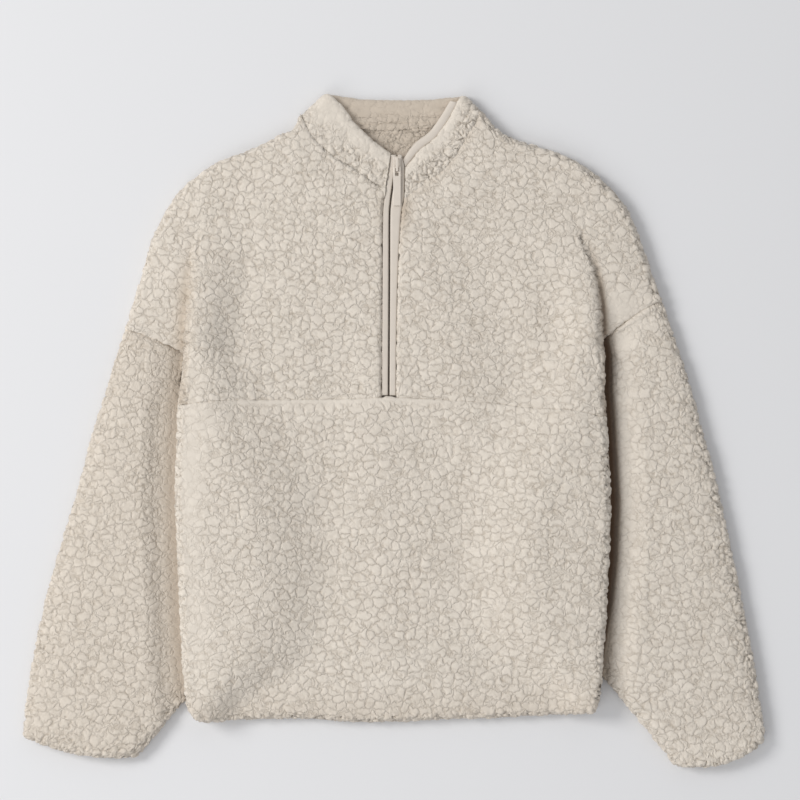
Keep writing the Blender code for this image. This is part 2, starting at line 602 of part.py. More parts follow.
def collar_sections():
    """Middle of the collar band from the left front end round the back to the right front end."""
    low = COLLAR_WALL / 2
    radius = low + SEAM_GAP
    high = low + 2 * radius
    rows = [row + (high,) for row in COLLAR_LEFT]
    for fold, angles, side in ((COLLAR_FOLD_LEFT, (90, 60, 30, 0, -30, -60, -90), 0),
                               (COLLAR_FOLD_RIGHT, (-90, -60, -30, 0, 30, 60, 90), 1)):
        if side:
            rows += [row + (low,) for row in COLLAR_BACK]
        for angle in np.radians(angles):
            inward = low + radius - radius * np.cos(angle)
            front = (1 + np.sin(angle)) / 2
            ends = []
            for x, y, front_x, front_y, back_x, back_y in fold:
                ends.append(x + inward * (front * front_x + (1 - front) * back_x))
                ends.append(y + inward * (front * front_y + (1 - front) * back_y))
            rows.append((*ends, low + radius + radius * np.sin(angle)))
    return np.array(rows + [row + (high,) for row in COLLAR_RIGHT[::-1]])


def collar():
    """The band's wall lies half on each side of its middle, and tapers at the seam and the top edge."""
    rows = collar_sections()
    share, taper = np.array(COLLAR_TAPER).T
    seam = np.column_stack([rows[:, 0:2], rows[:, 4]])[:, None]
    top = np.column_stack([rows[:, 2:4], rows[:, 4]])[:, None]
    middle = seam + (top - seam) * share[None, :, None]
    normal = np.cross(np.gradient(middle, axis=1), np.gradient(middle, axis=0))
    normal /= np.linalg.norm(normal, axis=-1, keepdims=True)
    normal *= np.sign(normal[0, 0, 2])
    half = taper[None, :, None] * COLLAR_WALL / 2
    points = np.vstack([(middle + normal * half).reshape(-1, 3), (middle - normal * half).reshape(-1, 3)])
    solid("collar", points, wall_faces(len(rows), len(share)), FLEECE, 0.95)


def collar_facing():
    """A strip along the inside of the collar's right front edge, its top a low arch."""
    rows = along(FACING, np.linspace(0, 1, 12))
    across = np.array([0.0, 0.15, 0.5, 0.85, 1.0])
    bulge = np.array([2.2, 0.6, 0.0, 0.6, 2.2])
    plan = rows[:, None, 0:2] + (rows[:, None, 2:4] - rows[:, None, 0:2]) * across[None, :, None]
    over = FACING_TOP - bulge[None, :] + 0 * plan[..., 0]
    slab("collar_facing", plan, over, 0 * over + FACING_FOOT, SMOOTH_CLOTH, 0.8)


def tape_height(x, y):
    """Top of the zip's tapes, just under the yoke's top beside them."""
    return front_over(x, np.minimum(y, TAPE_LEVEL_FROM)) - TAPE_DEPTH


def zip_tapes():
    """Each tape fills from beside the slot to the yoke's edge, then to the collar's front end."""
    for name, sign, neck, collar_end in (("zip_tape_left", -1, NECK_LEFT[0], TAPE_TOP_LEFT),
                                         ("zip_tape_right", 1, NECK_RIGHT[0], TAPE_TOP_RIGHT)):
        beside = zip_edge(neck[1], sign)(np.linspace(0.985, 0.0, 16)) - [sign * 1.3 * SEAM_GAP, 0.0]
        outer = np.vstack([beside, np.array(collar_end)])
        slot = np.interp(-outer[:, 1], [-q for _, q in ZIP_LINE], [p for p, _ in ZIP_LINE]) + sign * TAPE_SLOT
        inner = np.stack([slot, outer[:, 1]], -1)
        plan = np.stack([inner, (inner + outer) / 2, outer], 1)
        over = tape_height(0 * plan[..., 0], plan[..., 1])
        slab(name, plan, over, over - TAPE_WALL, SMOOTH_CLOTH, 0.7)


def block(work, low, high):
    """A box between two corners, added to a bmesh."""
    made = bmesh.ops.create_cube(work, size=1.0)["verts"]
    low, high = np.array(low), np.array(high)
    for vert in made:
        vert.co = tuple((low + high) / 2 + np.array(vert.co) * (high - low))
    return made


def joined(name, blocks, colour, roughness, bevel, origin):
    """One body from overlapping blocks: an exact union with softened edges."""
    whole = None
    for low, high in blocks:
        work = bmesh.new()
        block(work, low, high)
        mesh = bpy.data.meshes.new(name)
        work.to_mesh(mesh)
        work.free()
        piece = bpy.data.objects.new(name, mesh)
        bpy.context.scene.collection.objects.link(piece)
        if whole is None:
            whole = piece
            continue
        union = whole.modifiers.new("join", "BOOLEAN")
        union.operation = "UNION"
        union.solver = "EXACT"
        union.object = piece
        bpy.context.view_layer.update()
        result = bpy.data.meshes.new_from_object(whole.evaluated_get(bpy.context.evaluated_depsgraph_get()))
        whole.modifiers.clear()
        whole.data = result
        bpy.data.objects.remove(piece)
    work = bmesh.new()
    work.from_mesh(whole.data)
    bmesh.ops.remove_doubles(work, verts=work.verts, dist=0.0001)
    bmesh.ops.dissolve_limit(work, angle_limit=0.01, verts=work.verts, edges=work.edges)
    points = [tuple(vert.co) for vert in work.verts]
    faces = [[vert.index for vert in face.verts] for face in work.faces]
    work.free()
    bpy.data.objects.remove(whole)
    made = solid(name, points, faces, colour, roughness, origin)
    soften = made.modifiers.new("soften", "BEVEL")
    soften.width = bevel * MM
    soften.segments = 2
    soften.limit_method = "ANGLE"
    return made


def slider_level():
    """Height of the slider's upper plate: it runs just over the tapes."""
    return float(tape_height(np.array(0.0), np.array(SLIDER_AT[1]))) + SEAM_GAP


def pivot_level():
    """Height of the pull tab's hinge, so far above the slider's plate that the tab swings clear."""
    return slider_level() + SLIDER_PLATE + 0.5 + TAB_WALL / 2


def slider():
    """Two plates joined by a neck in the slot between the tapes, with the bail standing on top."""
    x, y = SLIDER_AT
    level = slider_level()
    half = SLIDER_WIDTH / 2
    under = level - 2 * SEAM_GAP - TAPE_WALL
    top = level + SLIDER_PLATE
    bar = BAIL_WIDTH / 2
    crown = pivot_level() + TAB_WALL / 2 + 0.9
    neck = float(np.interp(-(SLIDER_TOP - 4.0), [-q for _, q in ZIP_LINE], [p for p, _ in ZIP_LINE]))
    blocks = (
        ((x - half, SLIDER_FOOT, level), (x + half, SLIDER_TOP, top)),
        ((x - half + 0.8, SLIDER_FOOT + 1.0, under - SLIDER_PLATE), (x + half - 0.8, SLIDER_TOP, under)),
        ((neck - 0.5, SLIDER_TOP - 7.0, under - 0.5), (neck + 0.5, SLIDER_TOP - 1.0, level + 0.5)),
        ((x - bar, y - 4.4, top - 0.5), (x + bar, y - 4.4 + BAIL_BAR, crown)),
        ((x - bar, SLIDER_TOP - 3.2, top - 0.5), (x + bar, SLIDER_TOP - 3.2 + BAIL_BAR, crown)),
        ((x - bar, y - 4.4, crown - 0.4), (x + bar, SLIDER_TOP - 3.2 + BAIL_BAR, crown + 1.0)),
    )
    joined("slider", blocks, LACQUER, 0.35, 0.25, (x, y, level))


def pull_tab():
    """A flat bar with a window round the bail's foot. Its cross bar is the hinge, and its origin."""
    x, y = SLIDER_AT
    level = pivot_level()
    half = TAB_WIDTH / 2
    bar = TAB_WALL / 2
    thick = (level - bar, level + bar)
    window = TAB_WINDOW[0] / 2
    far = y - TAB_WINDOW[1]
    blocks = (
        ((x - half, y - bar, thick[0]), (x + half, y + bar, thick[1])),
        ((x - half, far - 0.5, thick[0]), (x - window, y + bar - 0.4, thick[1])),
        ((x + window, far - 0.5, thick[0]), (x + half, y + bar - 0.4, thick[1])),
        ((x - half, y - TAB_LENGTH, thick[0]), (x + half, far, thick[1])),
    )
    made = joined("pull_tab", blocks, LACQUER, 0.35, 0.4, (x, y, level))
    made.rotation_euler = (np.radians(TAB_TILT), 0.0, 0.0)


for old in list(bpy.data.objects):
    bpy.data.objects.remove(old)

back()
front_lower()
fronts()
sleeve("sleeve_right", SLEEVE_RIGHT, 19)
sleeve("sleeve_left", SLEEVE_LEFT, 19)
collar()
collar_facing()
zip_tapes()
slider()
pull_tab()
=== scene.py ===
"""Half-zip pullover of curly plush fleece, laid flat on a pale floor and seen from straight above.

The cloth's sizes are in millimetres, as in the part's source, and turned into metres where a mesh is
made. Each cloth piece is a closed wall on its solid's form, sunk between its curls from that form.
"""

import bmesh
import bpy
import numpy as np
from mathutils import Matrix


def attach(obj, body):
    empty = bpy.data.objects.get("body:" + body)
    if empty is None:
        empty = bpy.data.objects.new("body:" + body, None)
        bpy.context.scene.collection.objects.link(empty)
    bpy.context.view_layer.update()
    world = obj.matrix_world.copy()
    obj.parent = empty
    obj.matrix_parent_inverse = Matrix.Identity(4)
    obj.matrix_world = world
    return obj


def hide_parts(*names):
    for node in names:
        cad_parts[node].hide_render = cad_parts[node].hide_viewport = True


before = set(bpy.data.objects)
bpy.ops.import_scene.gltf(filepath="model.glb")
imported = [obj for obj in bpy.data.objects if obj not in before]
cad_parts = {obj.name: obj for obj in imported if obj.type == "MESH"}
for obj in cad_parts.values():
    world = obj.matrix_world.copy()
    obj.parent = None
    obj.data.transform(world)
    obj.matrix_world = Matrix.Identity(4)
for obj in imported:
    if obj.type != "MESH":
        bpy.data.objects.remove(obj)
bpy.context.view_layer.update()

# Sleeves. Each is one cut piece of curly plush fleece sewn into a tube and set into its armhole. It lies
# flat with a soft round at both folds, partly tucked under the body, and its cuff is a turned plain end.
MM = 0.001
SLEEVE_WALL = 7.4
TUCKED_HEIGHT = 15.2
SLEEVE_CLEAR = 17.0
SLEEVE_TOP_POWER = 3.6
SLEEVE_FLOOR_POWER = 6.0
SLEEVE_LENGTH = 500.0
CLEAR_EASE = 24.0
WIDEST_SHARE = 0.45
CURL = (9.4, 7.4, 8.0)
CURL_DEPTH = 1.35
EDGE_DEPTH = 3.4
SEAM_TUCK = 5.0
SEAM_SINK = 0.25
DIP = {1: 9.5, -1: 5.0}
DIP_REACH = {1: 7.5, -1: 15.0}
# The painted shadow in the deep gap beside the body's right side: how soft its edge is, and its width down
# the side, columns y and width.
GAP_FADE = 3.2
GAP_WIDTH = (
    (-300.0, 0.0), (-240.0, 3.4), (-207.0, 6.0), (-185.0, 8.0), (-86.0, 9.4), (-20.0, 8.6), (46.0, 8.0),
    (110.0, 5.2),
)
SLEEVE_LIP = 1.2
LIP_PLACE = 3.6
LIP_WIDTH = 2.2
THINNEST_SHARE = 0.45
# Colours of the pile: the clumps' own, painted shade in the crevices between them, painted shade where
# little light reaches, and painted shadow deep in the gap beside the body.
CLUMP = (0.715, 0.650, 0.568)
CREVICE_SHADE = (0.480, 0.410, 0.330)
SHADED = (0.540, 0.455, 0.365)
GAP_SHADOW = (0.115, 0.068, 0.040)
# Painted shade laid over the whole left sleeve, which faces the key light, and the share of the crease's
# painted shade that the left sleeve keeps.
LEFT_PAINTED_SHADE = 0.20
LEFT_SHARE = 0.62
PROUD = 1.9
KNOB = 3.2
HEM_LOW = -318.3
HEM_RISE = 4.3
# Levels at which a sleeve comes to lie pressed under the body's side and is free again, each with the
# length over which that happens.
PRESSED_TOP = (150.0, 60.0)
PRESSED_FOOT = (-318.0, 40.0)
# The net of cracks between the curls, in cells to the metre, with the bend that noise gives it in metres,
# its stretch along the axes, how dark its painted shade is, and the height of the curls in metres.
CURL_NET = 101.0
FINE_NET = 190.0
NET_BEND = 0.0098
NET_STRETCH = (0.86, 1.12, 1.0)
CRACK_DEPTH = 0.42
CURL_RISE = 0.0012

# Calmer places, where the pile lies smoother, columns x, y, half width, half height, share.
CALM = (
    (250.0, 134.0, 25.0, 20.0, 0.80),
    (254.0, 99.0, 17.0, 13.0, 0.80),
    (268.0, 118.0, 20.0, 7.0, 0.60),
    (-222.0, -45.0, 17.0, 105.0, 0.65),
    (-205.0, 8.0, 26.0, 18.0, 0.50),
    (-212.0, -205.0, 20.0, 60.0, 0.40),
    (250.0, -30.0, 14.0, 110.0, 0.60),
    (247.0, -170.0, 12.0, 90.0, 0.50),
    (-80.0, 346.0, 30.0, 26.0, 0.85),
    (-44.0, 318.0, 22.0, 10.0, 0.60),
    (58.0, 331.0, 13.0, 30.0, 0.70),
)
# Outlines of the body's sides, columns x and y.
SIDE_RIGHT = (
    (232.0, 101.0), (234.6, 83.0), (233.8, 45.0), (236.0, 14.0), (240.4, -75.0), (238.7, -141.0),
    (233.8, -192.0), (229.4, -243.0), (227.0, -285.0), (221.0, -307.0),
)
SIDE_LEFT = (
    (-230.0, 86.0), (-232.0, 56.0), (-236.0, 28.0), (-238.0, -34.0), (-238.8, -75.0), (-236.0, -141.0),
    (-232.7, -214.0), (-229.4, -269.0), (-226.0, -299.0), (-219.0, -314.0),
)
# Rings from armhole to cuff, columns outer x, outer y, inner x, inner y, height, bow along the arm.
SLEEVE_RIGHT = (
    (294.8, 142.9, 231.0, 100.6, 17.6, 3.0),
    (309.7, 100.7, 228.5, 64.0, 18.6, -2.0),
    (324.0, 55.6, 222.0, 24.0, 20.2, -3.0),
    (339.0, 3.0, 190.0, -34.0, 21.4, -3.0),
    (354.5, -55.0, 171.0, -92.0, 21.8, -3.0),
    (366.5, -110.0, 168.0, -152.0, 21.8, -4.0),
    (377.3, -160.0, 180.0, -205.0, 21.8, -5.0),
    (386.5, -206.0, 206.0, -244.0, 21.6, -6.0),
    (395.5, -251.0, 238.2, -278.0, 21.2, -8.0),
    (402.0, -293.0, 272.3, -320.0, 20.8, -9.0),
    (407.2, -328.0, 300.0, -354.5, 20.2, -10.0),
    (406.0, -343.0, 311.0, -368.0, 18.4, -10.0),
)
SLEEVE_LEFT = (
    (-294.6, 111.2, -230.4, 85.1, 17.6, 2.0),
    (-305.3, 78.7, -233.8, 50.0, 18.6, -2.0),
    (-318.0, 36.0, -222.0, 8.0, 20.2, -3.0),
    (-331.5, -6.0, -196.0, -37.0, 21.4, -3.0),
    (-345.0, -58.0, -174.0, -95.0, 21.8, -3.0),
    (-360.0, -107.0, -166.0, -155.0, 21.8, -4.0),
    (-373.0, -152.0, -171.0, -212.0, 21.8, -5.0),
    (-386.0, -200.0, -190.0, -254.0, 21.6, -6.0),
    (-395.5, -247.0, -214.0, -280.0, 21.2, -8.0),
    (-401.5, -288.0, -238.0, -303.5, 20.8, -8.0),
    (-406.8, -322.0, -268.0, -341.5, 20.2, -8.0),
    (-407.4, -335.0, -283.0, -358.0, 18.4, -8.0),
)


def along(points, share):
    """Points of a smooth line through POINTS, at the fractions SHARE of its length: each stretch is the
    cubic that leaves and meets its ends in step with their neighbours, measured by its own length."""
    rows = np.array(points, float)
    ends = np.vstack([2 * rows[0] - rows[1], rows, 2 * rows[-1] - rows[-2]])
    step = np.linspace(0, 1, 12, endpoint=False)[:, None]
    fine = []
    for a, b, c, d in zip(ends[:-3], ends[1:-2], ends[2:-1], ends[3:]):
        fine.append(0.5 * (2 * b + (c - a) * step + (2 * a - 5 * b + 4 * c - d) * step ** 2
                           + (3 * b - a - 3 * c + d) * step ** 3))
    fine = np.vstack(fine + [rows[-1:]])
    length = np.concatenate([[0], np.cumsum(np.linalg.norm(np.diff(fine[:, :2], axis=0), axis=1))])
    share = np.clip(share, 0, 1) * length[-1]
    return np.stack([np.interp(share, length, fine[:, k]) for k in range(rows.shape[1])], axis=-1)


def smooth(x):
    """An even S from 0 to 1: three times the square less twice the cube."""
    x = np.clip(x, 0, 1)
    return x * x * (3 - 2 * x)


def line_x(points, y):
    """The x of an outline that runs down, at the heights Y on it."""
    return np.interp(-np.asarray(y, float), [-q for _, q in points], [p for p, _ in points])


def side_reach(x, y):
    """How far a point lies outside the body's side, or below its hem."""
    out = np.where(x > 0, np.abs(x) - line_x(SIDE_RIGHT, y), np.abs(x) + line_x(SIDE_LEFT, y))
    return np.maximum(out, HEM_LOW + HEM_RISE - y)


def mixed(number):
    """Whole numbers shuffled into shares from 0 to 1: their bits are folded over and multiplied twice."""
    number = number & 0xFFFFFFFF
    for factor in (0x45D9F3B, 0x119DE1F3):
        number = ((number ^ (number >> 16)) * factor) & 0xFFFFFFFF
    return (number ^ (number >> 15)) / 0xFFFFFFFF


def cell_key(cell, seed):
    """A whole number for each cell of a cubic grid: its three places, each times a large prime."""
    return cell[..., 0] * 73856093 + cell[..., 1] * 19349663 + cell[..., 2] * 83492791 + seed * 40503


def drift(points, size, seed):
    """Slow noise from -1 to 1 in lumps about SIZE across: the shares at a cubic grid's corners, blended
    by the S of the place between them."""
    place = points / size
    low = np.floor(place).astype(np.int64)
    part = smooth(place - low)
    total = np.zeros(len(points))
    for corner in np.ndindex(2, 2, 2):
        weight = np.prod(np.where(corner, part, 1 - part), axis=-1)
        total += weight * mixed(cell_key(low + np.array(corner), seed))
    return 2 * total - 1


def clumps(points, size, seed, width):
    """Curled clumps as a cell pattern: a point belongs to the nearest of the scattered clump centres,
    with big clumps reaching further. The crevice to each other clump falls off with the difference of
    the two distances over WIDTH, and every pair of clumps has its own crevice depth, some almost none.
    Gives the crevice from 0 to 1, the distance to the centre and a share of the clump's own."""
    place = points / np.array(size)
    base = np.floor(place).astype(np.int64)
    far = np.empty((len(points), 27), np.float32)
    key = np.empty((len(points), 27), np.int64)
    for slot, step in enumerate(np.ndindex(3, 3, 3)):
        cell = base + np.array(step) - 1
        key[:, slot] = cell_key(cell, seed)
        centre = cell + np.stack([0.08 + 0.84 * mixed(cell_key(cell, seed + k)) for k in (1, 2, 3)], -1)
        far[:, slot] = np.linalg.norm(place - centre, axis=-1) - 0.24 * mixed(cell_key(cell, seed + 4))
    nearest = far.argmin(axis=1)[:, None]
    close = np.take_along_axis(far, nearest, 1)
    mine = np.take_along_axis(key, nearest, 1)
    depth = np.clip(1.5 * mixed(np.abs(key * 31 + mine * 31)) - 0.22, 0.06, 1.0)
    gap = np.where(key == mine, 0.0, depth * np.exp(-(far - close) / width))
    return gap.max(axis=1), close[:, 0], mixed(mine[:, 0])


def nap(points):
    """The pile's level from 0 in the deepest crevices to 1 on top, the tone of each clump, and how far
    it has rounded off towards its edge. The points are first pushed about by slow noise, so that the
    clumps curl round each other. Large clumps carry small ones, and here and there crevices close."""
    pushed = points + np.stack([2.6 * drift(points, 12.0, 11 + k) + 1.1 * drift(points, 4.6, 21 + k)
                                for k in range(3)], -1)
    deep, away, tone = clumps(pushed, CURL, 100, 0.12)
    fine, _, fine_tone = clumps(pushed, np.array(CURL) * 0.56, 200, 0.15)
    closed = 0.78 + 0.22 * drift(points, 24.0, 31)
    round_off = np.clip(away, 0, 1) ** 2
    level = 1 - closed * np.maximum(deep, 0.5 * fine) - 0.12 * round_off
    return np.clip(level + 0.10 * (tone - 0.5), 0, 1), 0.7 * tone + 0.3 * fine_tone, round_off


def calm(x, y):
    """Share of smoothness at a point: the greatest of the calmer places' bells."""
    bells = [share * np.exp(-((x - mid_x) / wide) ** 2 - ((y - mid_y) / tall) ** 2)
             for mid_x, mid_y, wide, tall, share in CALM]
    return np.max(bells, axis=0)


class Wire:
    """A number in a material. Sums, differences and products of wires and numbers add Math nodes."""

    def __init__(self, tree, socket):
        self.tree = tree
        self.socket = socket

    def math(self, operation, first, second):
        """A Math node on two terms, each a wire or a number."""
        made = self.tree.nodes.new("ShaderNodeMath")
        made.operation = operation
        for place, term in zip(made.inputs, (first, second)):
            if isinstance(term, Wire):
                self.tree.links.new(term.socket, place)
            else:
                place.default_value = term
        return Wire(self.tree, made.outputs[0])

    def __add__(self, other):
        return self.math("ADD", self, other)

    def __sub__(self, other):
        return self.math("SUBTRACT", self, other)

    def __rsub__(self, other):
        return self.math("SUBTRACT", other, self)

    def __mul__(self, other):
        return self.math("MULTIPLY", self, other)

    __radd__ = __add__
    __rmul__ = __mul__


class Finish:
    """A material whose surface is one shader, with the values that are the same all over it."""

    def __init__(self, name, constants):
        self.material = bpy.data.materials.new(name)
        self.material.use_nodes = True
        self.tree = self.material.node_tree
        self.shader = self.tree.nodes["Principled BSDF"]
        for socket, value in constants.items():
            self.shader.inputs[socket].default_value = value

    def node(self, kind, settings, sockets, out=0):
        """A node of KIND: its SETTINGS are set first, then its SOCKETS take values or wires."""
        made = self.tree.nodes.new("ShaderNode" + kind)
        for name, value in settings.items():
            setattr(made, name, value)
        for name, value in sockets.items():
            if isinstance(value, Wire):
                self.tree.links.new(value.socket, made.inputs[name])
            else:
                made.inputs[name].default_value = value
        return Wire(self.tree, made.outputs[out])

    def place(self):
        """The place on the object, in metres."""
        return self.node("TexCoord", {}, {}, "Object")

    def noise(self, scale, detail=2.0, stretch=(1.0, 1.0, 1.0)):
        """Cloudy noise from 0 to 1, SCALE lumps to the metre, STRETCH apart along the axes."""
        at = self.node("Mapping", {}, {"Vector": self.place(), "Scale": stretch})
        return self.node("TexNoise", {}, {"Vector": at, "Scale": scale, "Detail": detail}, "Fac")

    def clamp(self, wire):
        """The wire held between 0 and 1."""
        return self.node("Clamp", {}, {"Value": wire})

    def bent(self, warp, scale, stretch):
        """The place, pushed about by up to WARP metres of noise with SCALE lumps to the metre, then
        multiplied by STRETCH."""
        bend = self.node("TexNoise", {}, {"Vector": self.place(), "Scale": scale, "Detail": 2.6}, "Color")
        at = self.node("VectorMath", {"operation": "MULTIPLY_ADD"},
                       {0: bend, 1: (warp, warp, warp), 2: self.place()}, "Vector")
        return self.node("VectorMath", {"operation": "MULTIPLY"}, {0: at, 1: stretch}, "Vector")

    def edge_distance(self, at, scale):
        """The distance to the nearest edge between scattered cells, SCALE of them to the metre."""
        return self.node("TexVoronoi", {"feature": "DISTANCE_TO_EDGE"}, {"Vector": at, "Scale": scale},
                         "Distance")

    def blend(self, share, low, high):
        """The colour from LOW to HIGH by SHARE."""
        colours = [(*c, 1.0) if isinstance(c, tuple) else c for c in (low, high)]
        made = self.tree.nodes.new("ShaderNodeMix")
        made.data_type = "RGBA"
        made.clamp_factor = True
        self.tree.links.new(share.socket, made.inputs[0])
        for place, colour in zip((made.inputs[6], made.inputs[7]), colours):
            if isinstance(colour, Wire):
                self.tree.links.new(colour.socket, place)
            else:
                place.default_value = colour
        return Wire(self.tree, made.outputs[2])

    def bump(self, height, distance, strength=1.0):
        """The surface's normal, tilted by HEIGHT times DISTANCE metres."""
        sockets = {"Height": height, "Distance": distance, "Strength": strength}
        self.feed("Normal", self.node("Bump", {}, sockets, "Normal"))

    def feed(self, socket, wire):
        """Join a wire to one of the shader's own sockets."""
        self.tree.links.new(wire.socket, self.shader.inputs[socket])


def fleece_finish(name, clump, crevice):
    """Curly pile: pale clumps, with painted shade deeper and warmer in the crevices between them, mottled,
    with a soft bloom of fibre ends. Two nets of thin cracks, that fade here and there, part the curls as
    painted dark lines of shade, and each curl rounds off towards its cracks. The shaded attribute paints
    shade, and past 1 the painted shadow of the deep gap beside the body."""
    cloth = Finish(name, {"Roughness": 1.0, "Sheen Weight": 0.22, "Sheen Roughness": 0.55,
                          "Specular IOR Level": 0.15})
    level = cloth.node("Attribute", {"attribute_name": "nap"}, {}, "Fac")
    tone = cloth.node("Attribute", {"attribute_name": "tone"}, {}, "Fac")
    pale = tuple(min(1.0, k * 1.07) for k in clump)
    own = cloth.blend(tone * 0.7 + cloth.noise(26.0, 3.0) * 0.5, tuple(k * 0.93 for k in clump), pale)
    # Painted shade where little light reaches the pile, from the shaded attribute.
    shade = cloth.node("Attribute", {"attribute_name": "shaded"}, {}, "Fac")
    own = cloth.blend(shade, own, SHADED)
    fibre = cloth.noise(900.0, 3.0, (1.0, 0.7, 1.0))
    curl = cloth.node("Attribute", {"attribute_name": "curl"}, {}, "Fac")
    at = cloth.bent(NET_BEND, 150.0, NET_STRETCH)
    edge = cloth.edge_distance(at, CURL_NET)
    main = cloth.clamp(1.0 - edge * 7.2) * cloth.clamp(cloth.noise(60.0, 2.0) * 3.6 - 1.05)
    fine = cloth.clamp(1.0 - cloth.edge_distance(at, FINE_NET) * 5.4)
    fine = fine * cloth.clamp(cloth.noise(84.0, 2.0) * 3.8 - 1.5)
    crack = cloth.clamp(main + fine * 0.55) * (cloth.noise(210.0, 1.0) * 1.8 + 0.1) * curl
    depth = cloth.clamp(level * 0.46 + 0.59 + fibre * 0.16 - 0.08 - crack * CRACK_DEPTH)
    # Painted shade in the crevices and along the cracks: the colour falls from the clump's own towards the
    # crevice colour.
    colour = cloth.blend(depth, crevice, own)
    # Painted shadow deep in the gap beside the body, where the shaded attribute goes past 1.
    cloth.feed("Base Color", cloth.blend(shade - 1.0, colour, GAP_SHADOW))
    puff = cloth.clamp(edge * 3.6)
    cloth.bump(puff * (2.0 - puff) * curl + fibre * 0.3, CURL_RISE, 0.75)
    return cloth.material


fleece = fleece_finish("curly_fleece", CLUMP, CREVICE_SHADE)


def closed_mesh(name, points, faces):
    """A mesh from points in millimetres, with its faces turned out."""
    mesh = bpy.data.meshes.new(name)
    mesh.from_pydata((points * MM).tolist(), [], faces)
    work = bmesh.new()
    work.from_mesh(mesh)
    bmesh.ops.recalc_face_normals(work, faces=work.faces)
    work.to_mesh(mesh)
    work.free()
    return mesh


def smooth_piece(name, mesh, finish):
    """The mesh as a smooth-shaded piece of one finish."""
    mesh.shade_smooth()
    mesh.materials.append(finish)
    made = bpy.data.objects.new(name, mesh)
    bpy.context.scene.collection.objects.link(made)
    return made


def cloth_mesh(name, points, faces, pile, proud, shaded, finish):
    """A closed mesh from points in millimetres. Each point is then sunk along its normal, by PILE where
    the nap is at its lowest, and stands out by PROUD where it is at its highest, with each clump rounded
    off by KNOB. SHADED is the share of the deeper colour where little light reaches the pile."""
    mesh = closed_mesh(name, points, faces)
    normal = np.empty(len(points) * 3)
    mesh.vertex_normals.foreach_get("vector", normal)
    level, tone, round_off = nap(points)
    pile = pile * (1 - calm(points[:, 0], points[:, 1]))
    knob = KNOB * round_off * proud / PROUD
    sunk = points + normal.reshape(-1, 3) * (proud * level - pile * (1 - level) - knob)[:, None]
    sunk[:, 2] = np.maximum(sunk[:, 2], 0)
    mesh.vertices.foreach_set("co", (sunk * MM).ravel())
    # The nap attribute paints shade in the crevices, deeper where the pile is sunk further.
    shown = 1 - (1 - level) * np.clip(pile / CURL_DEPTH, 0.25, 1)
    curl = np.clip(pile / CURL_DEPTH, 0, 1)
    for title, values in (("nap", shown), ("tone", tone), ("shaded", shaded), ("curl", curl)):
        mesh.attributes.new(title, "FLOAT", "POINT").data.foreach_set("value", values)
    mesh.update()
    return smooth_piece(name, mesh, finish)


def beside_body(x, y):
    """Share of the crease where a sleeve passes under the body's side: a bell across the side's line,
    over the stretch where the two lie pressed together."""
    stretch = smooth((PRESSED_TOP[0] - y) / PRESSED_TOP[1]) * smooth((y - PRESSED_FOOT[0]) / PRESSED_FOOT[1])
    reach = np.where(x > 0, DIP_REACH[1], DIP_REACH[-1])
    return np.exp(-((side_reach(x, y) - 1.0) / reach) ** 2) * stretch


def gap_shadow(x, y):
    """Share of the painted shadow in the deep gap beside the body's right side, where the sleeve falls away
    below its edge. It is widest half way down and closes towards the hem."""
    wide = np.interp(y, [row[0] for row in GAP_WIDTH], [row[1] for row in GAP_WIDTH])
    share = smooth((wide - side_reach(x, y)) / GAP_FADE + 0.5) * smooth((PRESSED_TOP[0] - y) / 40.0)
    return np.where(x > 0, share, 0.0)


def sleeve_points(rings, share, inset, angle):
    """A ring for each SHARE of the arm, INSET from its outer form, with points at ANGLE round it. Across,
    each is a full round over a flat floor: a superellipse between the outer and the inner fold, bowed
    along the arm in its middle. Where the body lies on it, it is no higher than TUCKED_HEIGHT, and
    where it is pressed flat its wall is thinner."""
    ring = along(np.array(rings), share)
    outer, inner = ring[:, None, 0:2], ring[:, None, 2:4]
    across = (inner - outer) / np.linalg.norm(inner - outer, axis=-1, keepdims=True)
    inset = inset[:, None]
    half = np.linalg.norm(inner - outer, axis=-1) / 2 - inset
    cos, sin = np.cos(angle), np.sin(angle)
    power = np.where(sin >= 0, SLEEVE_TOP_POWER, SLEEVE_FLOOR_POWER)
    plan_x = np.sign(cos) * np.abs(cos) ** (2 / power)
    arm = np.stack([-across[..., 1], across[..., 0]], -1)
    arm = arm * np.where(arm[..., 1:] > 0, 1.0, -1.0)
    bow = ring[:, None, 5:6] * (1 - plan_x[None, :, None] ** 2)
    plan = (outer + inner) / 2 + across * (half * plan_x)[..., None] + arm * bow
    height = ring[:, 4:5]
    low = np.minimum(height, TUCKED_HEIGHT)
    free = smooth((side_reach(plan[..., 0], plan[..., 1]) - SLEEVE_CLEAR) / CLEAR_EASE)
    sign = np.sign(ring[0, 0])
    dip = DIP[sign] * beside_body(plan[..., 0], plan[..., 1])
    outer_top = low + (height - low) * free - np.minimum(dip, low / 2)
    wall = np.minimum(inset, THINNEST_SHARE * outer_top)
    top = outer_top - wall
    level = wall + WIDEST_SHARE * (np.minimum(top, low - wall) - wall)
    lift = np.where(sin >= 0, top - level, level - wall)
    return np.dstack([plan, level + lift * np.sign(sin) * np.abs(sin) ** (2 / power)])


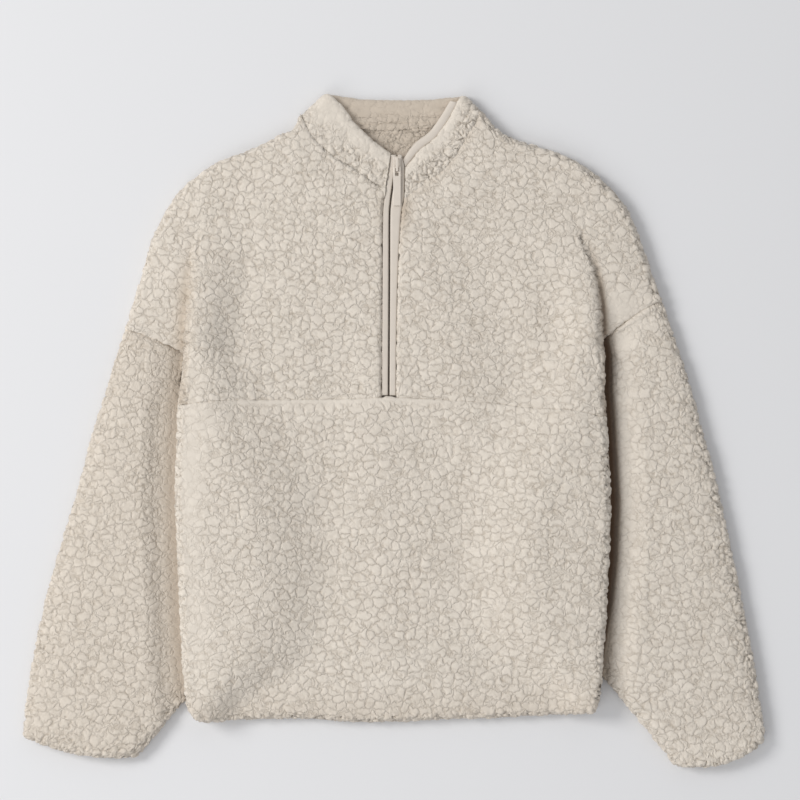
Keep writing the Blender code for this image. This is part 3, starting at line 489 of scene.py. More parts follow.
def sleeve(name, rings, rows=340, over=150, under=46):
    """The outside from the armhole to the cuff, round over the cuff's end and back along the inside."""
    angle = np.linspace(0, 2 * np.pi, 4001)
    cos, sin = np.cos(angle), np.sin(angle)
    power = np.where(sin >= 0, SLEEVE_TOP_POWER, SLEEVE_FLOOR_POWER)
    span = 92.0 * np.sign(cos) * np.abs(cos) ** (2 / power)
    rise = 10.0 * np.sign(sin) * np.abs(sin) ** (2 / power)
    run = np.concatenate([[0], np.cumsum(np.hypot(np.diff(span), np.diff(rise)))])
    turn = run[2000]
    marks = np.concatenate([np.linspace(0, turn, over, endpoint=False),
                            np.linspace(turn, run[-1], under, endpoint=False)])
    angle = np.interp(marks, run, angle)
    length = SLEEVE_LENGTH
    bend = SLEEVE_WALL / 2
    round_end = np.linspace(0, np.pi, 9)[1:-1]
    inner = np.append([bend, 8.0, 16.0], np.linspace(30.0, length, 26))
    share = np.concatenate([np.linspace(0, 1 - bend / length, rows),
                            1 - bend * (1 - np.sin(round_end)) / length, 1 - inner / length])
    inset = np.concatenate([np.zeros(rows), bend * (1 - np.cos(round_end)),
                            np.full(len(inner), SLEEVE_WALL)])
    grid = sleeve_points(rings, share, inset, angle)
    tuck = (grid[0] - grid[6]) / np.linalg.norm(grid[0, 0] - grid[6, 0]) * SEAM_TUCK
    tuck[:, 2] = -SEAM_SINK * grid[0, :, 2]
    grid[0] += tuck
    along_arm = share[:, None] * length
    lip = np.exp(-((along_arm - LIP_PLACE) / LIP_WIDTH) ** 2)
    grid[..., 2] += SLEEVE_LIP * lip * smooth((grid[..., 2] - 9.0) / 5.0)
    index = np.arange(grid.shape[0] * grid.shape[1]).reshape(grid.shape[:2])
    next_row, next_column = np.roll(index, -1, axis=0), np.roll(index, -1, axis=1)
    faces = np.stack([index, next_row, np.roll(next_row, -1, axis=1), next_column], -1).reshape(-1, 4)
    rest = smooth((grid[..., 2] - 1.0) / 5.0)
    inside = np.where(np.arange(len(share))[:, None] > rows + len(round_end) + 1, 0.3, 1.0)
    side = smooth(1.5 - np.abs(np.sin(angle)) * 1.6)[None, :]
    pile = (CURL_DEPTH + (EDGE_DEPTH - CURL_DEPTH) * side) * (0.12 + 0.88 * rest) * inside
    # Painted shade in the crease where the sleeve passes under the body, where its pile also lies smoother.
    # The left sleeve keeps a lighter share of it plus painted shade all over, since it faces the key light.
    # The right one also takes the painted shadow of the deep gap.
    dim = np.where(grid[..., 2] > 3.0, beside_body(grid[..., 0], grid[..., 1]), 0.0)
    pile *= 1 - 0.6 * dim
    dim = np.where(grid[..., 0] > 0, dim, LEFT_SHARE * dim + LEFT_PAINTED_SHADE)
    dim += np.where(grid[..., 2] > 3.0, gap_shadow(grid[..., 0], grid[..., 1]), 0.0)
    fold = smooth(1.4 - np.abs(np.sin(angle)) * 2.2)[None, :] * np.ones(len(share))[:, None]
    end = smooth((share - 0.97) / 0.02)[:, None]
    proud = PROUD * np.maximum(fold, end) * rest * inside
    # Painted shade also on the sleeve's inside wall.
    shaded = np.maximum(dim, 1 - inside)
    made = cloth_mesh(name, grid.reshape(-1, 3), faces.tolist(), pile.ravel(), proud.ravel(),
                      shaded.ravel(), fleece)
    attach(made, "garment")
    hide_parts(name.replace("_fleece", ""))
    return made


sleeve_right = sleeve("sleeve_right_fleece", SLEEVE_RIGHT)
sleeve_left = sleeve("sleeve_left_fleece", SLEEVE_LEFT)

# Back. One cut piece of the same fleece from the neck to the hem. It lies on the floor with its pile
# pressed flat, and rises over the tucked sleeves at both sides. Its inside shows in the neck opening.
BACK_WALL = 8.0
LAYER_GAP = 0.9
LIFT = 16.3
BACK_ROLL = (4.0, 3.4)
BACK_RAMP = 24.0
RAMP_END = 7.0
SIDE_EASE = 5.0
UNDERARM_RIGHT = 104.0
UNDERARM_LEFT = 89.0
UNDERARM_EASE = 36.0
DRAWN_IN = 3.0
INSIDE_SHADE = 0.75

SHOULDER_RIGHT = (
    (97.4, 350.4), (107.0, 339.0), (119.0, 328.0), (135.9, 319.6), (177.7, 306.9), (204.1, 294.3),
    (225.0, 279.0), (248.1, 256.0), (263.5, 229.4), (278.9, 187.0), (294.3, 143.6),
)
ARMHOLE_RIGHT = ((294.3, 143.6), (277.4, 134.8), (261.5, 124.8), (246.3, 113.5), (232.0, 101.0))
SHOULDER_LEFT = (
    (-103.8, 346.2), (-109.0, 333.0), (-123.8, 326.2), (-146.9, 313.5), (-193.1, 295.4), (-214.0, 281.5),
    (-233.0, 265.0), (-248.0, 244.8), (-262.4, 217.3), (-273.4, 181.0), (-284.4, 145.0), (-294.3, 112.0),
)
ARMHOLE_LEFT = ((-294.3, 112.0), (-277.7, 106.9), (-261.4, 100.9), (-245.5, 93.9), (-230.0, 86.0))
HEM = (
    (-219.0, -314.0), (-205.0, -318.3), (-150.0, -315.5), (-100.0, -315.0), (-45.0, -318.5), (5.0, -318.5),
    (60.0, -315.5), (120.0, -314.0), (180.0, -310.5), (212.0, -309.7), (221.0, -307.0),
)
NECK_BACK = ((-103.8, 346.2), (-60.0, 333.0), (0.0, 328.0), (60.0, 335.0), (97.4, 350.4))


def chain(lines, breaks):
    """A function that walks LINES one after the other, turning into each next one at its break."""
    def at(share):
        share = np.asarray(share, float)
        found = along(lines[0], share / breaks[0])
        for points, low, high in zip(lines[1:], breaks, breaks[1:] + (1.0,)):
            found = np.where((share > low)[..., None], along(points, (share - low) / (high - low)), found)
        return found
    return at


def coons(top, bottom, left, right, u, v):
    """The patch between four edges: the blend of the two pairs of edges, less the blend of the corners."""
    a, b = top(0.0), top(1.0)
    c, d = bottom(0.0), bottom(1.0)
    u1, v1 = u[..., None], v[..., None]
    return ((1 - v1) * top(u) + v1 * bottom(u) + (1 - u1) * left(v) + u1 * right(v)
            - (1 - u1) * (1 - v1) * a - u1 * (1 - v1) * b - (1 - u1) * v1 * c - u1 * v1 * d)


def edge_distance(points, x, y):
    """Signed distance from the line through POINTS, positive on its left as it is walked: the least of
    the distances to its short straight steps."""
    dense = along(points, np.linspace(0, 1, 48))
    best = np.full(np.shape(x), np.inf)
    sign = np.ones(np.shape(x))
    for a, b in zip(dense[:-1], dense[1:]):
        run = b - a
        t = np.clip(((x - a[0]) * run[0] + (y - a[1]) * run[1]) / (run ** 2).sum(), 0, 1)
        dx, dy = x - a[0] - t * run[0], y - a[1] - t * run[1]
        far = np.hypot(dx, dy)
        nearer = far < best
        best = np.where(nearer, far, best)
        sign = np.where(nearer, np.where(run[0] * dy - run[1] * dx >= 0, 1.0, -1.0), sign)
    return sign * best


def drop(distance, roll):
    """How far an edge has rounded down at DISTANCE in from it: a quarter ellipse, ROLL = (width, depth)."""
    width, depth = roll
    inside = np.clip(1 - distance / width, 0, 1)
    return depth * (1 - np.sqrt(1 - inside ** 2))


def under_sleeve(x, y, ramp, lead=0.0):
    """Share of LIFT that a layer has over the tucked sleeves. It rises over RAMP before their edge, and
    along the side over the first stretch below the underarm, LEAD above the layer beneath."""
    share = np.zeros_like(x)
    for rings, sign, top in ((SLEEVE_RIGHT, 1, UNDERARM_RIGHT), (SLEEVE_LEFT, -1, UNDERARM_LEFT)):
        inner = np.array(rings)[:, 2:4]
        inner = np.vstack([inner, 2 * inner[-1] - inner[-3]])
        into = sign * edge_distance(inner, x, y)
        rise = smooth((top + lead - y) / UNDERARM_EASE)
        side = np.where(sign * x > 0, smooth((into + ramp) / (ramp - RAMP_END)) * rise, 0)
        share = np.maximum(share, side)
    return share * smooth(1 - side_reach(x, y) / SIDE_EASE)


def plan_grid(patch, rows, columns):
    """Plan points of a four-sided panel at the shares ROWS down and COLUMNS across, and their distances
    from its left, right, top and bottom edges, measured along the rows and columns."""
    u, v = np.meshgrid(columns, rows)
    plan = patch(u, v)
    wide = np.concatenate([np.zeros((len(rows), 1)),
                           np.cumsum(np.linalg.norm(np.diff(plan, axis=1), axis=-1), axis=1)], axis=1)
    tall = np.concatenate([np.zeros((1, len(columns))),
                           np.cumsum(np.linalg.norm(np.diff(plan, axis=0), axis=-1), axis=0)], axis=0)
    return plan, wide, wide[:, -1:] - wide, tall, tall[-1:] - tall


def wall_panel(upper, lower, step, fine_below=False):
    """Points and faces of a closed wall. UPPER and LOWER are grids of the same plan. The upper one is
    whole. Of the lower one only every STEP-th point is kept inside its rim, unless FINE_BELOW, and the
    cells at its rim take in the rim's points. Two more rings stand between the two rims."""
    rows, columns = upper.shape[:2]
    index = np.arange(rows * columns).reshape(rows, columns)
    faces = np.stack([index[:-1, :-1], index[1:, :-1], index[1:, 1:], index[:-1, 1:]], -1)
    faces = faces.reshape(-1, 4).tolist()
    ring = np.concatenate([index[0, :], index[1:, -1], index[-1, -2::-1], index[-2:0:-1, 0]])
    flat_upper, flat_lower = upper.reshape(-1, 3), lower.reshape(-1, 3)
    points = [flat_upper]
    before = ring
    start = rows * columns
    for part in (1 / 3, 2 / 3, 1.0):
        points.append(flat_upper[ring] * (1 - part) + flat_lower[ring] * part)
        after = np.arange(start, start + len(ring))
        faces += np.stack([before, np.roll(before, -1), np.roll(after, -1), after], -1).tolist()
        before = after
        start += len(ring)
    low = np.full((rows, columns), -1)
    low.reshape(-1)[ring] = before
    step = 1 if fine_below else step
    down = np.unique(np.append(np.arange(0, rows, step), rows - 1))
    right = np.unique(np.append(np.arange(0, columns, step), columns - 1))
    inner = np.ix_(down[1:-1], right[1:-1])
    many = (len(down) - 2) * (len(right) - 2)
    low[inner] = np.arange(start, start + many).reshape(len(down) - 2, len(right) - 2)
    points.append(lower[inner].reshape(-1, 3))
    if fine_below:
        quads = np.stack([low[:-1, :-1], low[:-1, 1:], low[1:, 1:], low[1:, :-1]], -1)
        return np.vstack(points), faces + quads.reshape(-1, 4).tolist()
    for top, bottom in zip(down[:-1], down[1:]):
        for west, east in zip(right[:-1], right[1:]):
            cell = list(low[top, west:east + 1] if top == 0 else low[top, [west, east]])
            cell += list(low[top:bottom + 1, east][1:] if east == columns - 1 else low[[bottom], east])
            cell += list(low[bottom, west:east][::-1] if bottom == rows - 1 else low[bottom, [west]])
            cell += list(low[top + 1:bottom, west][::-1] if west == 0 else [])
            faces.append([int(k) for k in cell])
    return np.vstack(points), faces


BACK_SIDE_LEFT = chain((SHOULDER_LEFT, ARMHOLE_LEFT, SIDE_LEFT), (0.38, 0.46))
BACK_SIDE_RIGHT = chain((SHOULDER_RIGHT, ARMHOLE_RIGHT, SIDE_RIGHT), (0.38, 0.46))


def back_patch(u, v):
    """The back in plan: the neck above, the hem below and a shoulder, armhole and side on each hand."""
    return coons(lambda s: along(NECK_BACK, s), lambda s: along(HEM, s), BACK_SIDE_LEFT,
                 BACK_SIDE_RIGHT, u, v)


def drawn_in(x, y):
    """How far the body's right side is drawn in where it stands highest over the gap."""
    return DRAWN_IN * smooth((x - 195.0) / 36.0) * smooth((135.0 - y) / 45.0) * smooth((y + 215.0) / 70.0)


def gap_wall(x, y):
    """Shade of the body's right side wall, which stands in the deep gap beside the sleeve."""
    return 2.0 * (x > 215.0) * smooth((120.0 - y) / 30.0) * smooth((y + 235.0) / 50.0)


def back_panel():
    """The back's wall: its plan at full height inside, and rounded under at its sides and hem."""
    rows = np.concatenate([np.linspace(0, 0.12, 60, endpoint=False), np.linspace(0.12, 1, 130)])
    plan, west, east, _, south = plan_grid(back_patch, rows, np.linspace(0, 1, 185))
    x, y = plan[..., 0].copy(), plan[..., 1].copy()
    under = LIFT * under_sleeve(x, y, BACK_RAMP)
    rim = np.max([drop(way, BACK_ROLL) for way in (west, east, south)], axis=0)
    plan[..., 0] -= drawn_in(x, y)
    upper = np.dstack([plan, under + BACK_WALL])
    points, faces = wall_panel(upper, np.dstack([plan, under + rim]), 1, fine_below=True)
    pile = np.full(len(points), 0.5)
    pile[:x.size] = 2.6 * smooth((y.ravel() - 262.0) / 16.0)
    edge = np.min([west, east, south], axis=0).ravel()
    proud = np.zeros(len(points))
    proud[:x.size] = 0.7 * PROUD * smooth(1 - edge / 8.0)
    under_x, under_y, under_z = points[x.size:].T
    proud[x.size:] = 0.7 * PROUD * smooth(under_z - 2.0) * smooth((300.0 - under_y) / 10.0)
    shaded = np.zeros(len(points))
    shaded[:x.size] = INSIDE_SHADE
    shaded[x.size:] = gap_wall(under_x, under_y)
    return points, faces, pile, proud, shaded


back = cloth_mesh("back_fleece", *back_panel(), fleece)
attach(back, "garment")
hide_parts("back")

# Lower front. One cut piece of fleece from the chest seam to the hem, lying on the back and joined to it
# down both sides. It is a little fuller than the back, so it stands in broad soft rolls.
FRONT_WALL = 9.0
LOFT = 2.2
SIDE_ROLL = (10.0, 8.0)
HEM_ROLL = (9.0, 7.6)
SEAM_ROLL = (3.0, 1.5)
SEAM_GAP = 0.3
FOLD_ROLL = 12.0
FOLD_EASE = (64.0, 52.0)
FRONT_RAMP = (52.0, 50.0)
FRONT_LEAD = 3.0
LOFT_EASE = 34.0
ROLL_FADE = 34.0
RIM_CURLS = 9.0
LIP_RISE = 0.7
SEAM_OVERLAP = 1.2

CHEST_SEAM = (
    (-236.0, 28.0), (-190.0, 33.0), (-136.0, 33.6), (-48.0, 34.7), (-6.0, 36.4), (51.0, 34.0),
    (116.0, 29.6), (140.0, 25.9), (200.0, 22.0), (236.0, 14.0),
)
NECK_RIGHT = ((11.9, 257.0), (34.7, 273.0), (58.9, 292.0), (77.0, 318.0), (86.4, 335.0), (97.4, 350.4))
NECK_LEFT = ((-9.9, 259.0), (-36.9, 281.0), (-69.9, 302.0), (-90.7, 322.0), (-103.8, 346.2))
# Where the body's side stands proud of the sleeve as a fold, columns x and y.
FOLD_RIGHT = (
    (203.0, 240.0), (206.0, 215.0), (218.0, 188.0), (224.0, 160.0), (229.0, 122.0), (234.0, 90.0),
)
FOLD_LEFT = (
    (-206.0, 250.0), (-213.0, 222.0), (-221.0, 195.0), (-224.0, 166.7), (-227.5, 128.0), (-231.5, 75.0),
)
# How far that fold has risen, columns y and share of LIFT.
FOLD_RISE = ((-60.0, 1.0), (110.0, 1.0), (140.0, 0.82), (175.0, 0.45), (205.0, 0.14), (235.0, 0.0))
# Soft rolls and hollows, columns top x, top y, foot x, foot y, half width, height.
ROLLS = (
    (-62.0, 70.0, -86.0, -250.0, 30.0, -1.9),
    (-24.0, 60.0, -2.0, -250.0, 30.0, 1.5),
    (30.0, 190.0, 92.0, 0.0, 24.0, 1.7),
    (88.0, 200.0, 148.0, 30.0, 30.0, -2.0),
    (48.0, -20.0, 92.0, -210.0, 28.0, -1.5),
    (158.0, 170.0, 150.0, -160.0, 30.0, 1.3),
    (-172.0, 250.0, -160.0, 170.0, 26.0, -1.7),
    (100.0, -262.0, 205.0, -270.0, 26.0, -1.9),
)


def fold_share(x, y):
    """Share of LIFT of the body's standing side: it rises towards the fold line and rounds off past it."""
    past = np.where(x > 0, x - line_x(FOLD_RIGHT, y), line_x(FOLD_LEFT, y) - x)
    rise = np.interp(y, [row[0] for row in FOLD_RISE], [row[1] for row in FOLD_RISE])
    crest = np.clip((past + FOLD_ROLL) / FOLD_ROLL, 0, 1)
    return rise * smooth((past + FOLD_EASE[0]) / FOLD_EASE[1]) * np.sqrt(1 - crest ** 2)


def roll_height(x, y):
    """Sum of the soft rolls: each a bell across its line that fades beyond both ends."""
    height = np.zeros_like(x)
    for x0, y0, x1, y1, half, rise in ROLLS:
        run = np.array([x1 - x0, y1 - y0])
        size = np.hypot(*run)
        t = ((x - x0) * run[0] + (y - y0) * run[1]) / size ** 2
        off = ((x - x0) * run[1] - (y - y0) * run[0]) / size
        beyond = np.maximum(np.maximum(-t, t - 1), 0) * size
        height += rise * np.exp(-(off / half) ** 2 - (beyond / ROLL_FADE) ** 2)
    return height


def front_form(x, y):
    """The level that the front's wall starts from: over the back, the sleeves, the folds and the loft."""
    wide = FRONT_RAMP[0] + FRONT_RAMP[1] * smooth((y - HEM[-1][1]) / 90.0)
    lift = LIFT * (1 - (1 - fold_share(x, y)) * (1 - under_sleeve(x, y, wide, FRONT_LEAD)))
    outline = (SHOULDER_RIGHT, ARMHOLE_RIGHT, SIDE_RIGHT, SHOULDER_LEFT, ARMHOLE_LEFT, SIDE_LEFT, HEM,
               NECK_RIGHT, NECK_LEFT)
    rim = np.min([np.abs(edge_distance(points, x, y)) for points in outline], axis=0)
    puff = np.maximum(LOFT + roll_height(x, y), 0) * smooth(rim / LOFT_EASE)
    return BACK_WALL + LAYER_GAP + lift + puff


def rim_points(shape):
    """Number of points round the edge of a grid of SHAPE."""
    return 2 * (shape[0] + shape[1]) - 4


def front_nap(edge, points, shaded, smoothness):
    """Pile, proudness and shade for a front's points: clumps stand proud within RIM_CURLS of its edge
    and on its rim, and the points of its hidden side, which come last, keep close to its form."""
    pile, proud = np.zeros(len(points)), np.full(len(points), 0.4 * PROUD)
    dim = gap_wall(points[:, 0], points[:, 1])
    deeper = (EDGE_DEPTH - CURL_DEPTH) * smooth(1.1 - edge.ravel() / RIM_CURLS)
    pile[:edge.size] = (CURL_DEPTH + deeper) * smoothness.ravel()
    proud[:edge.size] = PROUD * smooth(1.15 - edge.ravel() / RIM_CURLS)
    rim = slice(edge.size, edge.size + 3 * rim_points(edge.shape))
    pile[rim], proud[rim] = EDGE_DEPTH - 0.8, PROUD
    dim[:edge.size] = shaded.ravel()
    dim[edge.size:edge.size + rim_points(edge.shape)] *= 0.25
    return pile, proud, dim


LOWER_SIDE_LEFT = (CHEST_SEAM[0],) + SIDE_LEFT[3:]
LOWER_SIDE_RIGHT = (CHEST_SEAM[-1],) + SIDE_RIGHT[4:]


def lower_patch(u, v):
    """The lower front in plan: half the seam's gap below the chest seam, down to the hem."""
    def side(points):
        return lambda s: along(points, s) - np.array([0.0, SEAM_GAP / 2]) * (1 - np.asarray(s)[..., None])
    return coons(lambda s: along(CHEST_SEAM, s) - [0.0, SEAM_GAP / 2], lambda s: along(HEM, s),
                 side(LOWER_SIDE_LEFT), side(LOWER_SIDE_RIGHT), u, v)


def lower_front():
    """The lower front's wall, with a soft lip along the chest seam and rounded sides and hem."""
    plan, west, east, north, south = plan_grid(lower_patch, np.linspace(0, 1, 253), np.linspace(0, 1, 337))
    x, y = plan[..., 0].copy(), plan[..., 1].copy()
    form = front_form(x, y)
    sides = np.maximum(drop(west, SIDE_ROLL), drop(east, SIDE_ROLL))
    ends = np.maximum(drop(north, (2.0, 0.6)), drop(south, HEM_ROLL))
    plan[0, :, 1] += SEAM_OVERLAP
    plan[..., 0] -= drawn_in(x, y)
    full = 0.30 + 0.70 * smooth((x + 190.0) / 45.0) * smooth((80.0 - x) / 45.0)
    lip = full * np.exp(-((north - 1.6) / 2.4) ** 2)
    upper = np.dstack([plan, form + FRONT_WALL - np.maximum(sides, ends) + LIP_RISE * lip])
    points, faces = wall_panel(upper, np.dstack([plan, form]), 14)
    edge = np.min([west, east, south], axis=0)
    # Painted shade towards the hem.
    hem_shade = 0.24 * smooth(1.0 - south / 46.0)
    return points, faces, *front_nap(edge, points, hem_shade, 1 - 0.85 * full * np.exp(-(north / 5.0) ** 2))


front_lower = cloth_mesh("front_lower_fleece", *lower_front(), fleece)
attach(front_lower, "garment")
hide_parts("front_lower")

# Upper fronts. Two cut pieces of fleece, left and right of the zip, from the neck to the chest seam. Each
# runs out over the dropped shoulder to the armhole, and its side stands as a fold over the sleeve.
ZIP_ROLL = (5.0, 3.0)
ZIP_HALF_GAP = 8.2
ZIP_LINE = (
    (3.9, 304.0), (2.5, 285.0), (-0.5, 271.0), (-2.5, 258.0), (-4.1, 244.0), (-4.4, 228.0), (-4.5, 170.0),
    (-5.2, 36.6),
)
UPPER_BREAKS = (0.62, 0.80)
ARMHOLE_MIDDLE = 0.71
NECK_ROLL = {1: (8.0, 2.6), -1: (2.2, 0.3)}
NECK_OVERLAP = {1: 1.5, -1: 3.0}
FOLD_SHADE = {1: 4.2, -1: 9.0}


def chest_share(x):
    """Share of the chest seam's length at which it reaches X."""
    share = np.linspace(0, 1, 400)
    return float(np.interp(x, along(CHEST_SEAM, share)[:, 0], share))


def zip_edge(neck, sign):
    """The yoke's edge along the zip: the zip's line moved out, with its ends eased to NECK and the seam."""
    share = np.linspace(0, 1, 200)
    zipper = along(ZIP_LINE, share)
    start = float(np.interp(-neck[1], -zipper[:, 1], share))
    foot = along(CHEST_SEAM, chest_share(ZIP_LINE[-1][0] + sign * ZIP_HALF_GAP)) + [0.0, SEAM_GAP / 2]
    first, last = (along(ZIP_LINE, s) + [sign * ZIP_HALF_GAP, 0.0] for s in (start, 1.0))

    def at(s):
        s = np.asarray(s, float)
        p = along(ZIP_LINE, start + (1 - start) * s) + [sign * ZIP_HALF_GAP, 0.0]
        return p + (np.array(neck) - first) * (1 - s)[..., None] ** 3 + (foot - last) * s[..., None]
    return at


def upper_patch(sign):
    """The patch of one half: neck above, chest seam below, the zip inside and the body's side outside."""
    seam_up = np.array([0.0, SEAM_GAP / 2])
    foot = chest_share(ZIP_LINE[-1][0] + sign * ZIP_HALF_GAP)
    if sign > 0:
        side = chain((SHOULDER_RIGHT, ARMHOLE_RIGHT, SIDE_RIGHT[:3] + (CHEST_SEAM[-1],)), UPPER_BREAKS)
        return lambda u, v: coons(lambda s: along(NECK_RIGHT, s),
                                  lambda s: along(CHEST_SEAM, foot + (1 - foot) * s) + seam_up,
                                  zip_edge(NECK_RIGHT[0], 1),
                                  lambda s: side(s) + seam_up * np.asarray(s)[..., None], u, v)
    side = chain((SHOULDER_LEFT, ARMHOLE_LEFT, SIDE_LEFT[:2] + (CHEST_SEAM[0],)), UPPER_BREAKS)
    return lambda u, v: coons(lambda s: along(NECK_LEFT[::-1], s),
                              lambda s: along(CHEST_SEAM, foot * s) + seam_up,
                              lambda s: side(s) + seam_up * np.asarray(s)[..., None],
                              zip_edge(NECK_LEFT[0], -1), u, v)


def upper_front(sign):
    """One yoke half's wall. It tucks under the collar, rounds off at the zip and at the body's side, and
    carries painted shade beside the tab, along the right half's neck seam and below its standing fold."""
    rows = np.linspace(0, 1, 225)
    plan, west, east, north, south = plan_grid(upper_patch(sign), rows, np.linspace(0, 1, 176))
    outer, zipper = (east, west) if sign > 0 else (west, east)
    x, y = plan[..., 0].copy(), plan[..., 1].copy()
    form = front_form(x, y)
    out = plan[0] - plan[4]
    plan[0] += out / np.linalg.norm(out, axis=-1, keepdims=True) * NECK_OVERLAP[sign]
    plan[..., 0] -= drawn_in(x, y)
    rolled = smooth(np.abs(rows - ARMHOLE_MIDDLE) / 0.09 - 0.5)[:, None]
    depth = SEAM_ROLL[1] + (SIDE_ROLL[1] - SEAM_ROLL[1]) * rolled
    side = drop(outer, (SIDE_ROLL[0], 1.0)) * depth
    edges = [side, drop(north, NECK_ROLL[sign]), drop(south, SEAM_ROLL), drop(zipper, ZIP_ROLL)]
    edges = np.max(edges, axis=0)
    upper = np.dstack([plan, form + FRONT_WALL - edges])
    points, faces = wall_panel(upper, np.dstack([plan, np.minimum(form, upper[..., 2] - 0.9)]), 14)
    beside_tab = np.exp(-(zipper / 11.0) ** 2 - ((y - 243.0) / 24.0) ** 2)
    beside_neck = np.exp(-(north / 9.0) ** 2)
    shaded = np.maximum(beside_tab, 0.30 * beside_neck) if sign > 0 else 0.3 * beside_tab
    past = x - line_x(FOLD_RIGHT, y) if sign > 0 else line_x(FOLD_LEFT, y) - x
    below_fold = smooth((225.0 - y) / 90.0) * np.exp(-((past - 3.0) / FOLD_SHADE[sign]) ** 2)
    shaded = np.maximum(shaded, (1.7 if sign > 0 else 0.8) * below_fold)
    outline = np.where(rolled * np.ones_like(x) > 0.5, outer, 99.0)
    outline = np.minimum(outline, np.where((past < 2.0) & (y < 215.0), np.abs(past), 99.0))
    return points, faces, *front_nap(outline, points, shaded, 1 + 0 * x)


for title, side_sign in (("front_upper_left", -1), ("front_upper_right", 1)):
    yoke = cloth_mesh(title + "_fleece", *upper_front(side_sign), fleece)
    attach(yoke, "garment")
    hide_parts(title)

# Collar. One folded band of the same fleece round the neck, laid flat with a fold at each side. Its pile
# is pressed smooth towards the top edge.
COLLAR_WALL = 8.2
COLLAR_TUCK = 0.11
RIPPLE = 0.9
RIPPLE_BEND = 0.9
RIPPLE_PITCH = 9.5
COLLAR_LEFT = (
    (-9.4, 260.4, -3.2, 305.5), (-36.9, 281.9, -23.7, 320.7), (-69.9, 303.0, -45.0, 342.5),
    (-89.8, 324.6, -57.5, 359.5),
)
COLLAR_RIGHT = (
    (12.4, 258.2, 13.4, 291.0), (34.7, 274.0, 29.0, 310.0), (58.6, 293.0, 46.0, 323.0),
    (77.6, 320.0, 59.5, 341.0),
)
COLLAR_FOLD_LEFT = ((-101.4, 347.7, 0.50, -0.87, 0.97, -0.20), (-75.0, 371.6, 0.90, -0.44, 0.99, -0.12))
COLLAR_FOLD_RIGHT = ((96.2, 352.6, -0.62, -0.78, -0.94, -0.30), (79.0, 369.5, -0.86, -0.50, -0.99, -0.12))
COLLAR_BACK = ((-60.0, 333.8, -36.0, 365.5), (0.0, 328.8, 2.0, 364.6), (60.0, 335.8, 42.0, 365.5))


def collar_sections():
    """Middle of the band from the left front end round the back to the right front end, one row a
    section: seam x, seam y, top x, top y, height. At each side it goes round a half circle."""
    low = COLLAR_WALL / 2
    radius = low + SEAM_GAP
    high = low + 2 * radius
    rows = [row + (high,) for row in COLLAR_LEFT]
    for fold, angles, side in ((COLLAR_FOLD_LEFT, np.linspace(90, -90, 13), 0),
                               (COLLAR_FOLD_RIGHT, np.linspace(-90, 90, 13), 1)):
        if side:
            rows += [row + (low,) for row in COLLAR_BACK]
        for angle in np.radians(angles):
            inward = low + radius - radius * np.cos(angle)
            front = (1 + np.sin(angle)) / 2
            ends = []
            for x, y, front_x, front_y, back_x, back_y in fold:
                ends.append(x + inward * (front * front_x + (1 - front) * back_x))
                ends.append(y + inward * (front * front_y + (1 - front) * back_y))
            rows.append((*ends, low + radius + radius * np.sin(angle)))
    return np.array(rows + [row + (high,) for row in COLLAR_RIGHT[::-1]])


def collar_band():
    """The wall lies half on each side of its middle. Its section is a long oval, round at both edges. Where
    the band lies on the floor behind the neck, soft ripples run along it."""
    stations = collar_sections()
    seam = np.column_stack([stations[:, 0:2], stations[:, 4]])
    top = np.column_stack([stations[:, 2:4], stations[:, 4]])
    run = np.concatenate([[0], np.cumsum(np.linalg.norm(np.diff((seam + top) / 2, axis=0), axis=1))])
    fine = np.linspace(0, run[-1], 400)
    seam, top = (np.stack([np.interp(fine, run, line[:, k]) for k in range(3)], -1) for line in (seam, top))
    share = 0.5 - 0.5 * np.cos(np.linspace(0, np.pi, 36))
    share = 0.5 * share + 0.5 * np.linspace(0, 1, 36)
    half = COLLAR_WALL / 2 * np.where(share > 0.5, (1 - np.abs(2 * share - 1) ** 7) ** 0.5,
                                      1 - 0.16 * np.clip(1 - share / 0.08, 0, 1) ** 2)
    reach = np.where(share == 0, -COLLAR_TUCK, share)
    middle = seam[:, None] + (top - seam)[:, None] * reach[None, :, None]
    lying = smooth((COLLAR_WALL - middle[..., 2]) / 2.0)
    lying = lying * smooth(share / 0.12) * smooth((0.80 - share) / 0.2)
    bend = RIPPLE_BEND * drift(middle.reshape(-1, 3) * (0.5, 1.0, 0.0), 15.0, 51).reshape(lying.shape)
    middle[..., 2] += RIPPLE * lying * np.sin(2 * np.pi * (middle[..., 1] / RIPPLE_PITCH + bend))
    normal = np.cross(np.gradient(middle, axis=1), np.gradient(middle, axis=0))
    normal /= np.maximum(np.linalg.norm(normal, axis=-1, keepdims=True), 1e-9)
    normal *= np.sign(normal[0, 0, 2])
    faces_out = middle + normal * half[None, :, None]
    faces_in = middle - normal * half[None, :, None]
    pile = np.tile(3.2 - 2.7 * smooth((share - 0.34) / 0.42), (len(fine), 1)) * (1 - 0.62 * lying)
    grid = np.concatenate([faces_out, faces_in[:, -2::-1]], axis=1)
    pile = np.concatenate([pile, pile[:, -2::-1]], axis=1)
    low = np.concatenate([middle[..., 2], middle[:, -2::-1, 2]], axis=1) < COLLAR_WALL
    outer_side = (np.arange(grid.shape[1]) < len(share))[None, :]
    shaded = np.where(low & ~outer_side, INSIDE_SHADE, 0.0)
    proud = 0.35 * PROUD * (1 - shaded)
    index = np.arange(grid.shape[0] * grid.shape[1]).reshape(grid.shape[:2])
    turned = np.roll(index, -1, axis=1)
    faces = np.stack([index[:-1], index[1:], turned[1:], turned[:-1]], -1).reshape(-1, 4).tolist()
    faces += [index[0].tolist(), index[-1].tolist()]
    return grid.reshape(-1, 3), faces, pile.ravel(), proud.ravel(), shaded.ravel()


collar = cloth_mesh("collar_fleece", *collar_band(), fleece)
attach(collar, "garment")
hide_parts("collar")

